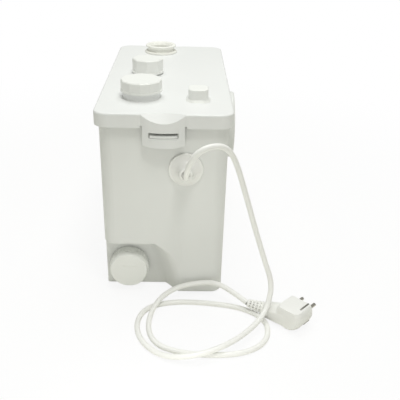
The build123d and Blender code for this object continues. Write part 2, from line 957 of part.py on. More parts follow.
with BuildPart() as collar_screws:
    with BuildSketch(side_view(collar_back + collar_flange_thick, 0, collar_z)):
        with PolarLocations(collar_screw_ring_radius, collar_screw_count):
            Circle(collar_screw_head)
    extrude(amount=-collar_screw_head_high)
    with BuildSketch(side_view(collar_back + collar_flange_thick, 0, collar_z)):
        with PolarLocations(collar_screw_ring_radius, collar_screw_count):
            Circle(collar_screw_radius)
    extrude(amount=-collar_screw_long)
collar_screws.part.label = "collar_screws"
export_step(collar_screws.part, "parts/collar_screws.step")

# Chute from the toilet collar down to the basket: a ramp with cheeks, a
# back plate against the wall and a level lip on the basket's rim.
chute_wall_x = (
    tank_width / 2 - tank_wall - chute_gap - (tank_rim - basket_top) * math.tan(math.radians(tank_draft))
)

with BuildPart() as inlet_chute:
    with BuildSketch(end_view(chute_half)):
        with BuildLine():
            Polyline(
                (chute_wall_x, chute_top),
                (chute_wall_x - chute_wall, chute_top),
                (chute_foot + chute_lip, basket_top + chute_wall),
                (chute_foot, basket_top + chute_wall),
                (chute_foot, basket_top),
                (chute_foot + chute_lip + chute_wall, basket_top),
                (chute_wall_x, chute_top - 2 * chute_wall),
                close=True,
            )
        make_face()
    extrude(amount=2 * chute_half)
    with BuildSketch(end_view(chute_half)):
        with BuildLine():
            Polyline(
                (chute_wall_x, chute_top),
                (chute_wall_x - chute_cheek, chute_top),
                (chute_foot, basket_top + chute_cheek),
                (chute_foot, basket_top),
                (chute_foot + chute_lip + chute_wall, basket_top),
                (chute_wall_x, chute_top - 2 * chute_wall),
                close=True,
            )
        make_face()
    extrude(amount=chute_wall)
    with BuildSketch(end_view(-chute_half + chute_wall)):
        with BuildLine():
            Polyline(
                (chute_wall_x, chute_top),
                (chute_wall_x - chute_cheek, chute_top),
                (chute_foot, basket_top + chute_cheek),
                (chute_foot, basket_top),
                (chute_foot + chute_lip + chute_wall, basket_top),
                (chute_wall_x, chute_top - 2 * chute_wall),
                close=True,
            )
        make_face()
    extrude(amount=chute_wall)
    # Clearance for the pump beside it
    with BuildSketch(flat(basket_top, 0, motor_y)):
        Circle(suction_radius + clear)
    extrude(amount=chute_top - basket_top, mode=Mode.SUBTRACT)
inlet_chute.part.label = "inlet_chute"
export_step(inlet_chute.part, "parts/inlet_chute.step")


# Basket: a long round-ended cage with upright slots all round, a rim at its
# top and a floor. The cutter runs at its far end, under the motor.
def stadium(plane, radius):
    with BuildSketch(plane) as outline:
        with Locations((0, motor_y), (0, motor_y - basket_reach)):
            Circle(radius)
        with Locations((0, motor_y - basket_reach / 2)):
            Rectangle(2 * radius, basket_reach)
    return outline.sketch


side_slots = 2 * math.floor(basket_reach / basket_slot_pitch / 2) + 1

with BuildPart() as basket:
    extrude(stadium(flat(tank_inside), basket_radius), amount=basket_top - tank_inside)
    extrude(
        stadium(flat(basket_top - basket_rim_high), basket_radius + basket_rim), amount=basket_rim_high
    )
    extrude(
        stadium(flat(tank_inside + basket_wall), basket_radius - basket_wall),
        amount=basket_top,
        mode=Mode.SUBTRACT,
    )
    with BuildSketch(flat(basket_slot_low)):
        with Locations((0, motor_y)):
            with PolarLocations(
                basket_radius, basket_end_slots, start_angle=0, angular_range=180, endpoint=True
            ):
                Rectangle(4 * basket_wall, basket_slot_wide)
        with Locations((0, motor_y - basket_reach)):
            with PolarLocations(
                basket_radius, basket_end_slots, start_angle=180, angular_range=180, endpoint=True
            ):
                Rectangle(4 * basket_wall, basket_slot_wide)
        with Locations((0, motor_y - basket_reach / 2)):
            with GridLocations(2 * basket_radius, basket_reach / (side_slots + 1), 2, side_slots):
                Rectangle(4 * basket_wall, basket_slot_wide)
    extrude(amount=basket_slot_high - basket_slot_low, mode=Mode.SUBTRACT)
basket.part.label = "basket"
export_step(basket.part, "parts/basket.step")

with BuildPart() as suction_plate:
    with BuildSketch(flat(basket_top, 0, motor_y)):
        Circle(suction_radius)
        Circle(suction_eye, mode=Mode.SUBTRACT)
    extrude(amount=suction_thick)
suction_plate.part.label = "suction_plate"
export_step(suction_plate.part, "parts/suction_plate.step")

# Volute: a round chamber with a horn that leads to the discharge, where it
# turns up.
chamber_radius = volute_radius - volute_wall - volute_top
horn_y = outlet_y - motor_y

with BuildPart() as volute:
    with BuildSketch(flat(volute_bottom, 0, motor_y)):
        Circle(volute_radius)
        with Locations((outlet_x, horn_y / 2)):
            Rectangle(horn_width, horn_y)
        with Locations((outlet_x, horn_y)):
            Circle(horn_width / 2)
    extrude(amount=volute_high)
    with BuildSketch(flat(volute_bottom, 0, motor_y)):
        Circle(chamber_radius)
        with Locations((outlet_x, horn_y / 2)):
            Rectangle(horn_width - 2 * volute_wall, horn_y)
        with Locations((outlet_x, horn_y)):
            Circle(horn_width / 2 - volute_wall)
    extrude(amount=volute_high - volute_top, mode=Mode.SUBTRACT)
    with BuildSketch(flat(volute_bottom, 0, motor_y)):
        with Locations((outlet_x, horn_y)):
            Circle(horn_width / 2 - volute_wall)
        Circle(seal_radius + snug)
    extrude(amount=volute_high, mode=Mode.SUBTRACT)
    # Floor of the horn beyond the suction plate
    with BuildSketch(flat(volute_bottom, 0, motor_y)):
        with Locations((outlet_x, horn_y / 2)):
            Rectangle(horn_width, horn_y)
        with Locations((outlet_x, horn_y)):
            Circle(horn_width / 2)
        Circle(volute_radius, mode=Mode.SUBTRACT)
    extrude(amount=volute_wall)
volute.part.label = "volute"
export_step(volute.part, "parts/volute.step")

with BuildPart() as shaft_seal:
    with BuildSketch(flat(volute_roof - volute_top, 0, motor_y)):
        Circle(seal_radius)
        Circle(shaft_radius + clear, mode=Mode.SUBTRACT)
    extrude(amount=seal_high)
shaft_seal.part.label = "shaft_seal"
export_step(shaft_seal.part, "parts/shaft_seal.step")

# Motor bracket: a round foot on the volute that widens to carry the
# housing, with pockets for the seal and the lower bearing.
with BuildPart() as motor_bracket:
    revolve(
        turned(
            0,
            motor_y,
            [
                (seal_radius + snug, volute_roof),
                (bracket_foot_radius, volute_roof),
                (bracket_radius, volute_roof + bracket_high / 2),
                (bracket_radius, housing_bottom),
                (bearing_radius + snug, housing_bottom),
                (bearing_radius + snug, lower_bearing_z),
                (seal_radius + snug, lower_bearing_z),
            ],
        ),
        upright_axis(0, motor_y),
    )
    with BuildSketch(flat(housing_bottom - bolt_sink, 0, motor_y)):
        with PolarLocations(bolt_ring_radius, bolt_count, start_angle=bolt_angle):
            Circle(bolt_radius + snug)
    extrude(amount=bracket_high, mode=Mode.SUBTRACT)
motor_bracket.part.label = "motor_bracket"
export_step(motor_bracket.part, "parts/motor_bracket.step")


def bearing(bottom):
    with BuildPart() as ring:
        with BuildSketch(flat(bottom, 0, motor_y)):
            Circle(bearing_radius)
            Circle(shaft_radius + shaft_fit, mode=Mode.SUBTRACT)
        extrude(amount=bearing_high)
    return ring.part


with BuildPart() as lower_bearing:
    add(bearing(lower_bearing_z))
lower_bearing.part.label = "lower_bearing"
export_step(lower_bearing.part, "parts/lower_bearing.step")

with BuildPart() as upper_bearing:
    add(bearing(upper_bearing_z))
upper_bearing.part.label = "upper_bearing"
export_step(upper_bearing.part, "parts/upper_bearing.step")

with BuildPart() as motor_housing:
    with BuildSketch(flat(housing_bottom, 0, motor_y)):
        Circle(housing_radius)
        with PolarLocations(housing_radius, fin_count):
            Rectangle(2 * fin_proud, fin_wide)
        Circle(housing_radius - housing_wall, mode=Mode.SUBTRACT)
    extrude(amount=housing_high)
motor_housing.part.label = "motor_housing"
export_step(motor_housing.part, "parts/motor_housing.step")

# Motor cover: a shallow dish with the upper bearing's boss below, and on
# top two saddles for the capacitor.
capacitor_z = cover_top + saddle_bed + capacitor_radius

with BuildPart() as motor_cover:
    with BuildSketch(flat(cover_bottom, 0, motor_y)):
        Circle(housing_radius)
    extrude(amount=cover_high)
    fillet(motor_cover.faces().sort_by(Axis.Z)[-1].edges(), cover_round)
    with BuildSketch(flat(cover_bottom, 0, motor_y)):
        Circle(bearing_radius + housing_wall)
        Circle(bearing_radius + snug, mode=Mode.SUBTRACT)
    extrude(amount=-bearing_high)
    with BuildSketch(flat(cover_bottom, 0, motor_y)):
        Circle(shaft_radius + clear)
    extrude(amount=shaft_end, mode=Mode.SUBTRACT)
    with BuildSketch(flat(cover_bottom, 0, motor_y)):
        with PolarLocations(bolt_ring_radius, bolt_count, start_angle=bolt_angle):
            Circle(bolt_radius + snug)
    extrude(amount=cover_high, mode=Mode.SUBTRACT)
    with BuildSketch(flat(cover_top, capacitor_x, motor_y)):
        with GridLocations(saddle_wide, saddle_pitch, 1, 2):
            Rectangle(saddle_wide, saddle_long)
    extrude(amount=saddle_high)
    with BuildSketch(end_view(motor_y, capacitor_x, capacitor_z)):
        Circle(capacitor_radius + snug)
    extrude(amount=housing_radius, both=True, mode=Mode.SUBTRACT)
motor_cover.part.label = "motor_cover"
export_step(motor_cover.part, "parts/motor_cover.step")

with BuildPart() as stator:
    with BuildSketch(flat(stator_bottom, 0, motor_y)):
        Circle(housing_radius - housing_wall - clear)
        Circle(stator_bore_radius, mode=Mode.SUBTRACT)
        with PolarLocations(stator_bore_radius, stator_slot_count):
            Rectangle(2 * fin_wide, fin_wide, mode=Mode.SUBTRACT)
        with PolarLocations(bolt_ring_radius, bolt_count, start_angle=bolt_angle):
            Circle(bolt_radius + clear, mode=Mode.SUBTRACT)
    extrude(amount=stator_high)
    with BuildSketch(flat(stator_bottom - winding_rise, 0, motor_y)):
        Circle(winding_outer)
        Circle(winding_inner, mode=Mode.SUBTRACT)
    extrude(amount=winding_rise)
    with BuildSketch(flat(stator_top, 0, motor_y)):
        Circle(winding_outer)
        Circle(winding_inner, mode=Mode.SUBTRACT)
    extrude(amount=winding_rise)
stator.part.label = "stator"
export_step(stator.part, "parts/stator.step")

with BuildPart() as motor_bolts:
    with BuildSketch(flat(housing_bottom - bolt_sink, 0, motor_y)):
        with PolarLocations(bolt_ring_radius, bolt_count, start_angle=bolt_angle):
            Circle(bolt_radius)
    extrude(amount=cover_top - housing_bottom + bolt_sink)
    with BuildSketch(flat(cover_top, 0, motor_y)):
        with PolarLocations(bolt_ring_radius, bolt_count, start_angle=bolt_angle):
            RegularPolygon(bolt_head, 6)
    extrude(amount=bolt_head_high)
motor_bolts.part.label = "motor_bolts"
export_step(motor_bolts.part, "parts/motor_bolts.step")

# Rotor: shaft, core, impeller, cutter blade and the nut that holds it.
blade_top = blade_z + blade_hub_high

with BuildPart() as shaft:
    with BuildSketch(flat(blade_z, 0, motor_y)):
        Circle(shaft_radius)
    extrude(amount=cover_bottom - blade_z)
shaft.part.label = "shaft"
export_step(shaft.part, "parts/shaft.step")

with BuildPart() as rotor_core:
    with BuildSketch(flat(stator_bottom, 0, motor_y)):
        Circle(core_radius)
    extrude(amount=stator_high)
    with BuildSketch(flat(stator_bottom - core_fan, 0, motor_y)):
        Circle(core_radius - core_fan)
    extrude(amount=stator_high + 2 * core_fan)
    with BuildSketch(flat(stator_bottom - core_fan, 0, motor_y)):
        Circle(shaft_radius)
    extrude(amount=stator_high + 2 * core_fan, mode=Mode.SUBTRACT)
rotor_core.part.label = "rotor_core"
export_step(rotor_core.part, "parts/rotor_core.step")


# Impeller: back plate and hub with curved vanes below them.
def vane():
    with BuildSketch(flat(volute_bottom + impeller_lift, 0, motor_y)) as blade_sketch:
        with BuildLine():
            inner = impeller_hub - vane_thick
            outer = impeller_radius
            middle = (inner + outer) / 2
            ThreePointArc((inner, 0), (middle, vane_bend / 2), (outer, 0))
            Line((outer, 0), (outer, vane_thick))
            ThreePointArc((outer, vane_thick), (middle, vane_bend / 2 + vane_thick), (inner, vane_thick))
            Line((inner, vane_thick), (inner, 0))
        make_face()
    with BuildPart() as one:
        extrude(blade_sketch.sketch, amount=impeller_high)
    return one.part


with BuildPart() as impeller:
    with BuildSketch(flat(volute_bottom + impeller_lift + impeller_high, 0, motor_y)):
        Circle(impeller_radius)
    extrude(amount=impeller_plate)
    with BuildSketch(flat(volute_bottom + impeller_lift, 0, motor_y)):
        Circle(impeller_hub)
    extrude(amount=impeller_high)
    for turn in range(vane_count):
        add(vane().rotate(upright_axis(0, motor_y), turn * 360 / vane_count))
    with BuildSketch(flat(volute_bottom + impeller_lift - cut_over, 0, motor_y)):
        Circle(shaft_radius)
    extrude(amount=volute_high, mode=Mode.SUBTRACT)
impeller.part.label = "impeller"
export_step(impeller.part, "parts/impeller.step")

# Cutter: a flat bar on a hub, its ends turned up into standing knives.
with BuildPart() as blade:
    with BuildSketch(flat(blade_z, 0, motor_y)):
        SlotOverall(2 * blade_reach, blade_wide)
    extrude(amount=blade_thick)
    with BuildSketch(flat(blade_z, 0, motor_y)):
        Circle(blade_hub)
    extrude(amount=blade_hub_high)
    with BuildSketch(flat(blade_z, 0, motor_y)):
        Circle(blade_reach)
        Circle(blade_reach - blade_thick, mode=Mode.SUBTRACT)
        Rectangle(2 * blade_reach, blade_wide, mode=Mode.INTERSECT)
    extrude(amount=blade_tip_high)
    with BuildSketch(end_view(motor_y - blade_wide / 2, 0, blade_z + blade_tip_high)):
        with BuildLine():
            Polyline(
                (-blade_reach - cut_over, 0),
                (-blade_reach - cut_over, -blade_wide),
                (-blade_reach + blade_wide / 2, 0),
                close=True,
            )
        make_face()
        mirror(about=Plane.YZ)
    extrude(amount=-blade_wide / 2, mode=Mode.SUBTRACT)
    with BuildSketch(flat(blade_z - cut_over, 0, motor_y)):
        Circle(shaft_radius)
    extrude(amount=blade_hub_high + 2 * cut_over, mode=Mode.SUBTRACT)
blade.part.label = "blade"
export_step(blade.part, "parts/blade.step")

with BuildPart() as shaft_nut:
    with BuildSketch(flat(blade_z, 0, motor_y)):
        RegularPolygon(nut_across / 2, 6, major_radius=False)
    extrude(amount=-nut_high)
    chamfer(shaft_nut.faces().sort_by(Axis.Z)[0].edges(), nut_high / 6)
shaft_nut.part.label = "shaft_nut"
export_step(shaft_nut.part, "parts/shaft_nut.step")

# Capacitor on its saddles, and the terminal block beside it.
with BuildPart() as capacitor:
    with BuildSketch(end_view(motor_y, capacitor_x, capacitor_z)):
        Circle(capacitor_radius)
    extrude(amount=capacitor_long / 2, both=True)
    chamfer(capacitor.edges().filter_by(GeomType.CIRCLE), capacitor_end / 3)
    with BuildSketch(end_view(motor_y - capacitor_long / 2, capacitor_x, capacitor_z)):
        Circle(capacitor_end_radius)
    extrude(amount=capacitor_end)
capacitor.part.label = "capacitor"
export_step(capacitor.part, "parts/capacitor.step")

with BuildPart() as terminal_block:
    with BuildSketch(flat(cover_top, terminal_x, motor_y)):
        Rectangle(terminal_wide, terminal_long)
    extrude(amount=terminal_high)
    chamfer(terminal_block.faces().sort_by(Axis.Z)[-1].edges(), terminal_well / 4)
    with BuildSketch(flat(cover_top + terminal_high, terminal_x, motor_y)):
        with GridLocations(terminal_pitch, terminal_pitch, 2, terminal_count):
            Circle(terminal_well / 2)
    extrude(amount=-terminal_well_deep, mode=Mode.SUBTRACT)
terminal_block.part.label = "terminal_block"
export_step(terminal_block.part, "parts/terminal_block.step")


# Leads. A lead's path is straight runs joined by arcs, each as large as its
# two runs allow.
run_share = 0.45


def bends(points, share):
    radii = []
    for before, here, after in zip(points, points[1:], points[2:]):
        come = Vector(here) - Vector(before)
        go = Vector(after) - Vector(here)
        half_turn = math.radians(come.get_angle(go)) / 2
        radii.append(share * min(come.length, go.length) / math.tan(half_turn))
    return radii


def lead(name, points, radius):
    radii = bends(points, run_share)
    with BuildLine() as path:
        FilletPolyline(*points, radius=radii)
    first = Vector(points[1]) - Vector(points[0])
    with BuildSketch(Plane(origin=points[0], z_dir=first)) as round_section:
        Circle(radius)
    with BuildPart() as tube:
        sweep(round_section.sketch, path=path.wire())
    length = path.wire().length
    print(name, "length", round(length, 1), "radii", [round(r, 1) for r in radii])
    print(name, "volume over section times length", round(tube.part.volume / (math.pi * radius**2 * length), 5))
    return tube.part


gland_point = (tank_x + gland_x, -gland_mouth_y + gland_bore_deep, gland_z)
terminal_point = (
    tank_x + terminal_x,
    motor_y - terminal_long / 2,
    cover_top + terminal_lead_z,
)
inner_start = (tank_x + gland_x, -gland_inner_y + gland_stub_long, gland_z)

# The inner lead's way: first as steps from the gland's inner end, then as
# steps back from the terminals.
inner_from_gland = [(0.0, 33.5, 0.0), (-19.0, 71.5, 7.0), (-36.0, 117.5, 24.0)]
inner_from_terminals = [(1.25, -51.0, -3.0), (0.0, -23.0, 0.0)]
inner_route = [inner_start]
inner_route += [tuple(Vector(inner_start) + Vector(step)) for step in inner_from_gland]
inner_route += [tuple(Vector(terminal_point) + Vector(step)) for step in inner_from_terminals]
inner_route.append(terminal_point)

with BuildPart() as inner_lead:
    add(lead("inner_lead", inner_route, lead_radius))
inner_lead.part.label = "inner_lead"
export_step(inner_lead.part, "parts/inner_lead.step")

# Check valve: a body with a seat, a flap hinged at its left, and a neck
# for the riser.
valve_top = volute_roof + valve_high
flap_z = volute_roof + valve_seat_high + flap_rod

with BuildPart() as valve_body:
    revolve(
        turned(
            outlet_x,
            outlet_y,
            [
                (valve_seat_hole, volute_roof),
                (valve_radius, volute_roof),
                (valve_radius, valve_top),
                (riser_radius - riser_wall - snug, valve_top),
                (riser_radius - riser_wall - snug, valve_top + valve_neck_high),
                (riser_radius - riser_wall - snug - valve_neck_wall, valve_top + valve_neck_high),
                (riser_radius - riser_wall - snug - valve_neck_wall, valve_top - valve_neck_wall),
                (valve_chamber, valve_top - valve_neck_wall),
                (valve_chamber, volute_roof + valve_seat_high),
                (valve_seat_hole, volute_roof + valve_seat_high),
            ],
        ),
        upright_axis(outlet_x, outlet_y),
    )
valve_body.part.label = "valve_body"
export_step(valve_body.part, "parts/valve_body.step")

with BuildPart() as check_flap:
    with BuildSketch(flat(volute_roof + valve_seat_high, outlet_x, outlet_y)):
        Circle(flap_radius)
        with Locations((-flap_hinge / 2, 0)):
            Rectangle(flap_hinge, flap_arm)
    extrude(amount=flap_thick)
check_flap.part.label = "check_flap"
export_step(check_flap.part, "parts/check_flap.step")

with BuildPart() as riser_pipe:
    with BuildSketch(flat(valve_top, outlet_x, outlet_y)):
        Circle(riser_radius)
        Circle(riser_radius - riser_wall, mode=Mode.SUBTRACT)
    extrude(amount=riser_top - valve_top)
riser_pipe.part.label = "riser_pipe"
export_step(riser_pipe.part, "parts/riser_pipe.step")

with BuildPart() as riser_clamps:
    with BuildSketch(flat(valve_top + clamp_up, outlet_x, outlet_y)):
        Circle(riser_radius + snug + clamp_thick)
        with Locations((-riser_radius - clamp_box / 2, 0)):
            Rectangle(clamp_box, clamp_box)
        Circle(riser_radius + snug, mode=Mode.SUBTRACT)
    extrude(amount=clamp_wide)
riser_clamps.part.label = "riser_clamps"
export_step(riser_clamps.part, "parts/riser_clamps.step")

# Air bell with gates at its foot, the pressure dish on it, and the switch.
dish_top = bell_top + dish_high
switch_top = dish_top + switch_cover_high

with BuildPart() as air_bell:
    with BuildSketch(flat(tank_inside, bell_x, bell_y)):
        Circle(bell_radius)
        Circle(bell_radius - bell_wall, mode=Mode.SUBTRACT)
    extrude(amount=bell_top - tank_inside)
    with BuildSketch(end_view(bell_y + 2 * bell_radius, bell_x, tank_inside)):
        with Locations((0, bell_gate_high / 2)):
            Rectangle(bell_gate, bell_gate_high)
    extrude(amount=4 * bell_radius, mode=Mode.SUBTRACT)
    with BuildSketch(side_view(bell_x - 2 * bell_radius, bell_y, tank_inside)):
        with Locations((0, bell_gate_high / 2)):
            Rectangle(bell_gate, bell_gate_high)
    extrude(amount=4 * bell_radius, mode=Mode.SUBTRACT)
air_bell.part.label = "air_bell"
export_step(air_bell.part, "parts/air_bell.step")

with BuildPart() as switch_base:
    revolve(
        turned(
            bell_x,
            bell_y,
            [
                (bell_radius - bell_wall, bell_top),
                (dish_radius, bell_top),
                (dish_radius, dish_top),
                (dish_radius - dish_wall - membrane_rim, dish_top),
                (dish_radius - dish_wall - membrane_rim, bell_top + dish_wall),
                (bell_radius - bell_wall, bell_top + dish_wall),
            ],
        ),
        upright_axis(bell_x, bell_y),
    )
switch_base.part.label = "switch_base"
export_step(switch_base.part, "parts/switch_base.step")

membrane_z = dish_top + clear

with BuildPart() as diaphragm:
    with BuildSketch(flat(membrane_z, bell_x, bell_y)):
        Circle(membrane_plate)
    extrude(amount=membrane_thick)
    with BuildSketch(flat(membrane_z, bell_x, bell_y)):
        Circle(plunger_radius)
    extrude(amount=switch_top + plunger_above - membrane_z)
diaphragm.part.label = "diaphragm"
export_step(diaphragm.part, "parts/diaphragm.step")

micro_bottom = switch_top + plunger_above + membrane_travel + clear

with BuildPart() as switch_cover:
    revolve(
        turned(
            bell_x,
            bell_y,
            [
                (dish_radius - dish_wall, dish_top),
                (dish_radius, dish_top),
                (dish_radius, switch_top - dish_wall),
                (dish_radius - dish_wall, switch_top),
                (plunger_radius + clear, switch_top),
                (plunger_radius + clear, switch_top - dish_wall),
                (dish_radius - dish_wall, switch_top - dish_wall),
            ],
        ),
        upright_axis(bell_x, bell_y),
    )
    with BuildSketch(flat(switch_top, bell_x, bell_y)):
        with GridLocations(micro_long - micro_post_wide, micro_wide, 2, 1):
            Rectangle(micro_post_wide, micro_wide)
    extrude(amount=micro_bottom - switch_top)
switch_cover.part.label = "switch_cover"
export_step(switch_cover.part, "parts/switch_cover.step")

with BuildPart() as microswitch:
    with BuildSketch(flat(micro_bottom, bell_x, bell_y)):
        Rectangle(micro_long, micro_wide)
    extrude(amount=micro_high)
    chamfer(microswitch.faces().sort_by(Axis.Z)[-1].edges(), clear)
microswitch.part.label = "microswitch"
export_step(microswitch.part, "parts/microswitch.step")

# Cable gland: a wide flange and a flat cone that end in a short nozzle.
gland_face = tank_length / 2

with BuildPart() as cable_gland:
    revolve(
        end_turned(
            gland_x,
            gland_z,
            [
                (0, gland_inner_y - gland_stub_long),
                (gland_stub_radius, gland_inner_y - gland_stub_long),
                (gland_stub_radius, gland_face),
                (gland_flange_radius, gland_face),
                (gland_flange_radius, gland_face + gland_flange_thick),
                (gland_cone_edge, gland_face + gland_flange_thick),
                (gland_shoulder_radius, gland_mouth_y - gland_shoulder),
                (gland_mouth_radius, gland_mouth_y),
                (gland_bore_radius, gland_mouth_y),
                (gland_bore_radius, gland_mouth_y - gland_bore_deep),
                (0, gland_mouth_y - gland_bore_deep),
            ],
        ),
        end_axis(gland_x, gland_z),
    )
cable_gland.part.label = "cable_gland"
export_step(cable_gland.part, "parts/cable_gland.step")

with BuildPart() as gland_nut:
    with BuildSketch(end_view(-gland_inner_y, gland_x, gland_z)):
        RegularPolygon(gland_nut_across / 2, 6, major_radius=False)
        Circle(gland_stub_radius + snug, mode=Mode.SUBTRACT)
    extrude(amount=-gland_nut_thick)
gland_nut.part.label = "gland_nut"
export_step(gland_nut.part, "parts/gland_nut.step")

# Plug frame: its local x runs from the head to the neck, y is up and z is
# the way the pins point.
heading = math.radians(plug_heading)
plug_frame = Plane(
    origin=(plug_x, near_wall_y - plug_from_end, plug_radius),
    x_dir=(-math.sin(heading), math.cos(heading), 0),
    z_dir=(math.cos(heading), math.sin(heading), 0),
)


def in_plug(point):
    """Place in space of a point of the plug's own frame."""
    return plug_frame.from_local_coords(point)


neck_point = in_plug(neck_end)
boot_point = in_plug(boot_end)
boot_dir = boot_point - neck_point
face_plane = plug_frame.offset(plug_long / 2)
back_plane = plug_frame.offset(-plug_long / 2)

with BuildPart() as plug_body:
    with BuildSketch(back_plane):
        Circle(plug_radius)
        Rectangle(2 * plug_radius, 2 * plug_flat, mode=Mode.INTERSECT)
    extrude(amount=plug_long)
    with BuildSketch(plug_frame.offset(-plug_long / 2)):
        Circle(plug_radius)
    extrude(amount=plug_long / 3)
    chamfer(plug_body.faces().sort_by(Axis(plug_frame.origin, plug_frame.z_dir))[0].edges(), plug_edge)
    root_plane = Plane(
        origin=in_plug((neck_root_x, 0, -neck_root_back)), x_dir=plug_frame.z_dir, z_dir=plug_frame.x_dir
    )
    with BuildSketch(root_plane):
        RectangleRounded(neck_root_wide, neck_root_high, neck_root_corner)
    with BuildSketch(Plane(origin=neck_point, x_dir=plug_frame.z_dir, z_dir=boot_dir)):
        Circle(neck_end_radius)
    loft()
plug_body.part.label = "plug_body"
export_step(plug_body.part, "parts/plug_body.step")

with BuildPart() as plug_pins:
    with BuildSketch(face_plane):
        with GridLocations(pin_pitch, pin_pitch, 2, 1):
            Circle(pin_radius)
    extrude(amount=pin_long)
    chamfer(
        plug_pins.faces().sort_by(Axis(plug_frame.origin, plug_frame.z_dir))[-2:].edges(),
        pin_radius / 3,
    )
plug_pins.part.label = "plug_pins"
export_step(plug_pins.part, "parts/plug_pins.step")

with BuildPart() as earth_clips:
    with BuildSketch(face_plane.offset(-clip_long)):
        with GridLocations(clip_wide, 2 * plug_flat + clip_thick, 1, 2):
            Rectangle(clip_wide, clip_thick)
    extrude(amount=clip_long)
earth_clips.part.label = "earth_clips"
export_step(earth_clips.part, "parts/earth_clips.step")

# Boot of the plug: a tapered tail with grooves, turned about its own axis.
boot_long = boot_dir.length
boot_profile = [(0.0, 0.0)]
for ring in range(boot_rings):
    near = ring / boot_rings
    mid = (ring + 1 / 2) / boot_rings
    next_ring = (ring + 1) / boot_rings
    size_near = boot_radius + (boot_tip_radius - boot_radius) * near
    size_far = boot_radius + (boot_tip_radius - boot_radius) * next_ring
    boot_profile += [
        (size_near, near * boot_long),
        (size_near, mid * boot_long),
        (size_far - boot_groove, mid * boot_long),
        (size_far - boot_groove, next_ring * boot_long),
    ]
boot_profile.append((0.0, boot_long))

with BuildPart() as plug_relief:
    boot_section_plane = Plane(
        origin=neck_point,
        x_dir=Vector(0, 0, 1).cross(boot_dir),
        z_dir=Vector(0, 0, 1).cross(boot_dir).cross(boot_dir),
    )
    revolve(section(boot_section_plane, boot_profile), Axis(neck_point, boot_dir))
plug_relief.part.label = "plug_relief"
export_step(plug_relief.part, "parts/plug_relief.step")

# Route of the lead from the gland to the boot of the plug. The arch is given
# as steps from the gland's mouth, and the fall as shares of the gland's
# height. On the floor the second number is the distance from the near wall.
arch_steps = [
    (0.0, -21.0, 0.0),
    (-1.0, -45.0, 10.0),
    (0.0, -61.0, 32.0),
    (10.0, -62.0, 58.0),
    (31.0, -51.0, 68.0),
    (50.0, -36.0, 57.0),
    (62.0, -26.0, 28.0),
    (74.0, -21.0, -18.0),
]
fall_shares = [(88.0, -23.0, 0.63), (102.0, -26.0, 0.42), (117.0, -26.0, 0.25)]
floor_steps = [
    (130.0, -66.5, 19.0),
    (108.0, -94.5, 12.0),
    (76.0, -127.5, 14.0),
    (37.0, -146.5, 13.0),
    (-2.0, -138.5, 3.6),
    (-30.0, -112.5, 3.6),
    (-41.0, -76.5, 3.6),
    (-31.0, -40.5, 3.6),
    (4.0, -25.5, 3.6),
    (50.0, -26.5, 3.6),
    (104.0, -37.5, 3.6),
    (134.0, -67.5, 3.6),
    (128.0, -108.5, 3.6),
    (98.0, -130.5, 3.6),
    (56.0, -134.5, 3.6),
    (16.0, -129.5, 3.6),
    (-14.0, -114.5, 3.6),
    (-26.0, -79.5, 4.0),
    (-17.0, -41.5, 13.0),
    (6.0, -13.5, 17.0),
    (36.0, -6.5, 22.0),
    (66.0, -9.5, 26.0),
]
cord_route = [gland_point]
cord_route += [tuple(Vector(gland_point) + Vector(step)) for step in arch_steps]
cord_route += [(gland_point[0] + x, gland_point[1] + y, gland_z * share) for x, y, share in fall_shares]
cord_route += [(x, near_wall_y + y, z) for x, y, z in floor_steps]
cord_route += [tuple(boot_point + boot_dir), tuple(boot_point)]

with BuildPart() as mains_cord:
    add(lead("mains_cord", cord_route, cord_radius))
mains_cord.part.label = "mains_cord"
export_step(mains_cord.part, "parts/mains_cord.step")
print("route", [[round(v, 2) for v in point] for point in cord_route])
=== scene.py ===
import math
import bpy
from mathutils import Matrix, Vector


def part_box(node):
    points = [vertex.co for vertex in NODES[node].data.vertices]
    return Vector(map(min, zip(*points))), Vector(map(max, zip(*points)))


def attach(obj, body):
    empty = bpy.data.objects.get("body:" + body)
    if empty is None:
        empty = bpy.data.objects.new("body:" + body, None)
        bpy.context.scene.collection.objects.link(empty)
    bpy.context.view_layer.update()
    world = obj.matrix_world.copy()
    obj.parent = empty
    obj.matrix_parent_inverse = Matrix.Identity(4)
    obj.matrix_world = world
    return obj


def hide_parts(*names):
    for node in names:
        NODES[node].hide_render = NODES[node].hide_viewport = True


bl_info = {
    "name": "Macerator pump dressing",
    "version": (1, 0, 0),
    "blender": (4, 5, 0),
    "location": "3D View > Sidebar > Macerator pump",
    "description": "Dresses the CAD frame of a macerator toilet pump with its lead, fittings and finishes",
    "category": "Object",
}

import bmesh
import bpy
from mathutils import Matrix, Vector

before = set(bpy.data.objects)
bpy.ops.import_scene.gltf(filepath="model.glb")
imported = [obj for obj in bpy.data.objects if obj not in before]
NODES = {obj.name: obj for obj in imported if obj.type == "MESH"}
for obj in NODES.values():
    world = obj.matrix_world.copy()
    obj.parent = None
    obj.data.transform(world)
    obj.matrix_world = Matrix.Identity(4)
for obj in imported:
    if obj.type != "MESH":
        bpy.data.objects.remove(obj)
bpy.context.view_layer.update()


# Shader arithmetic


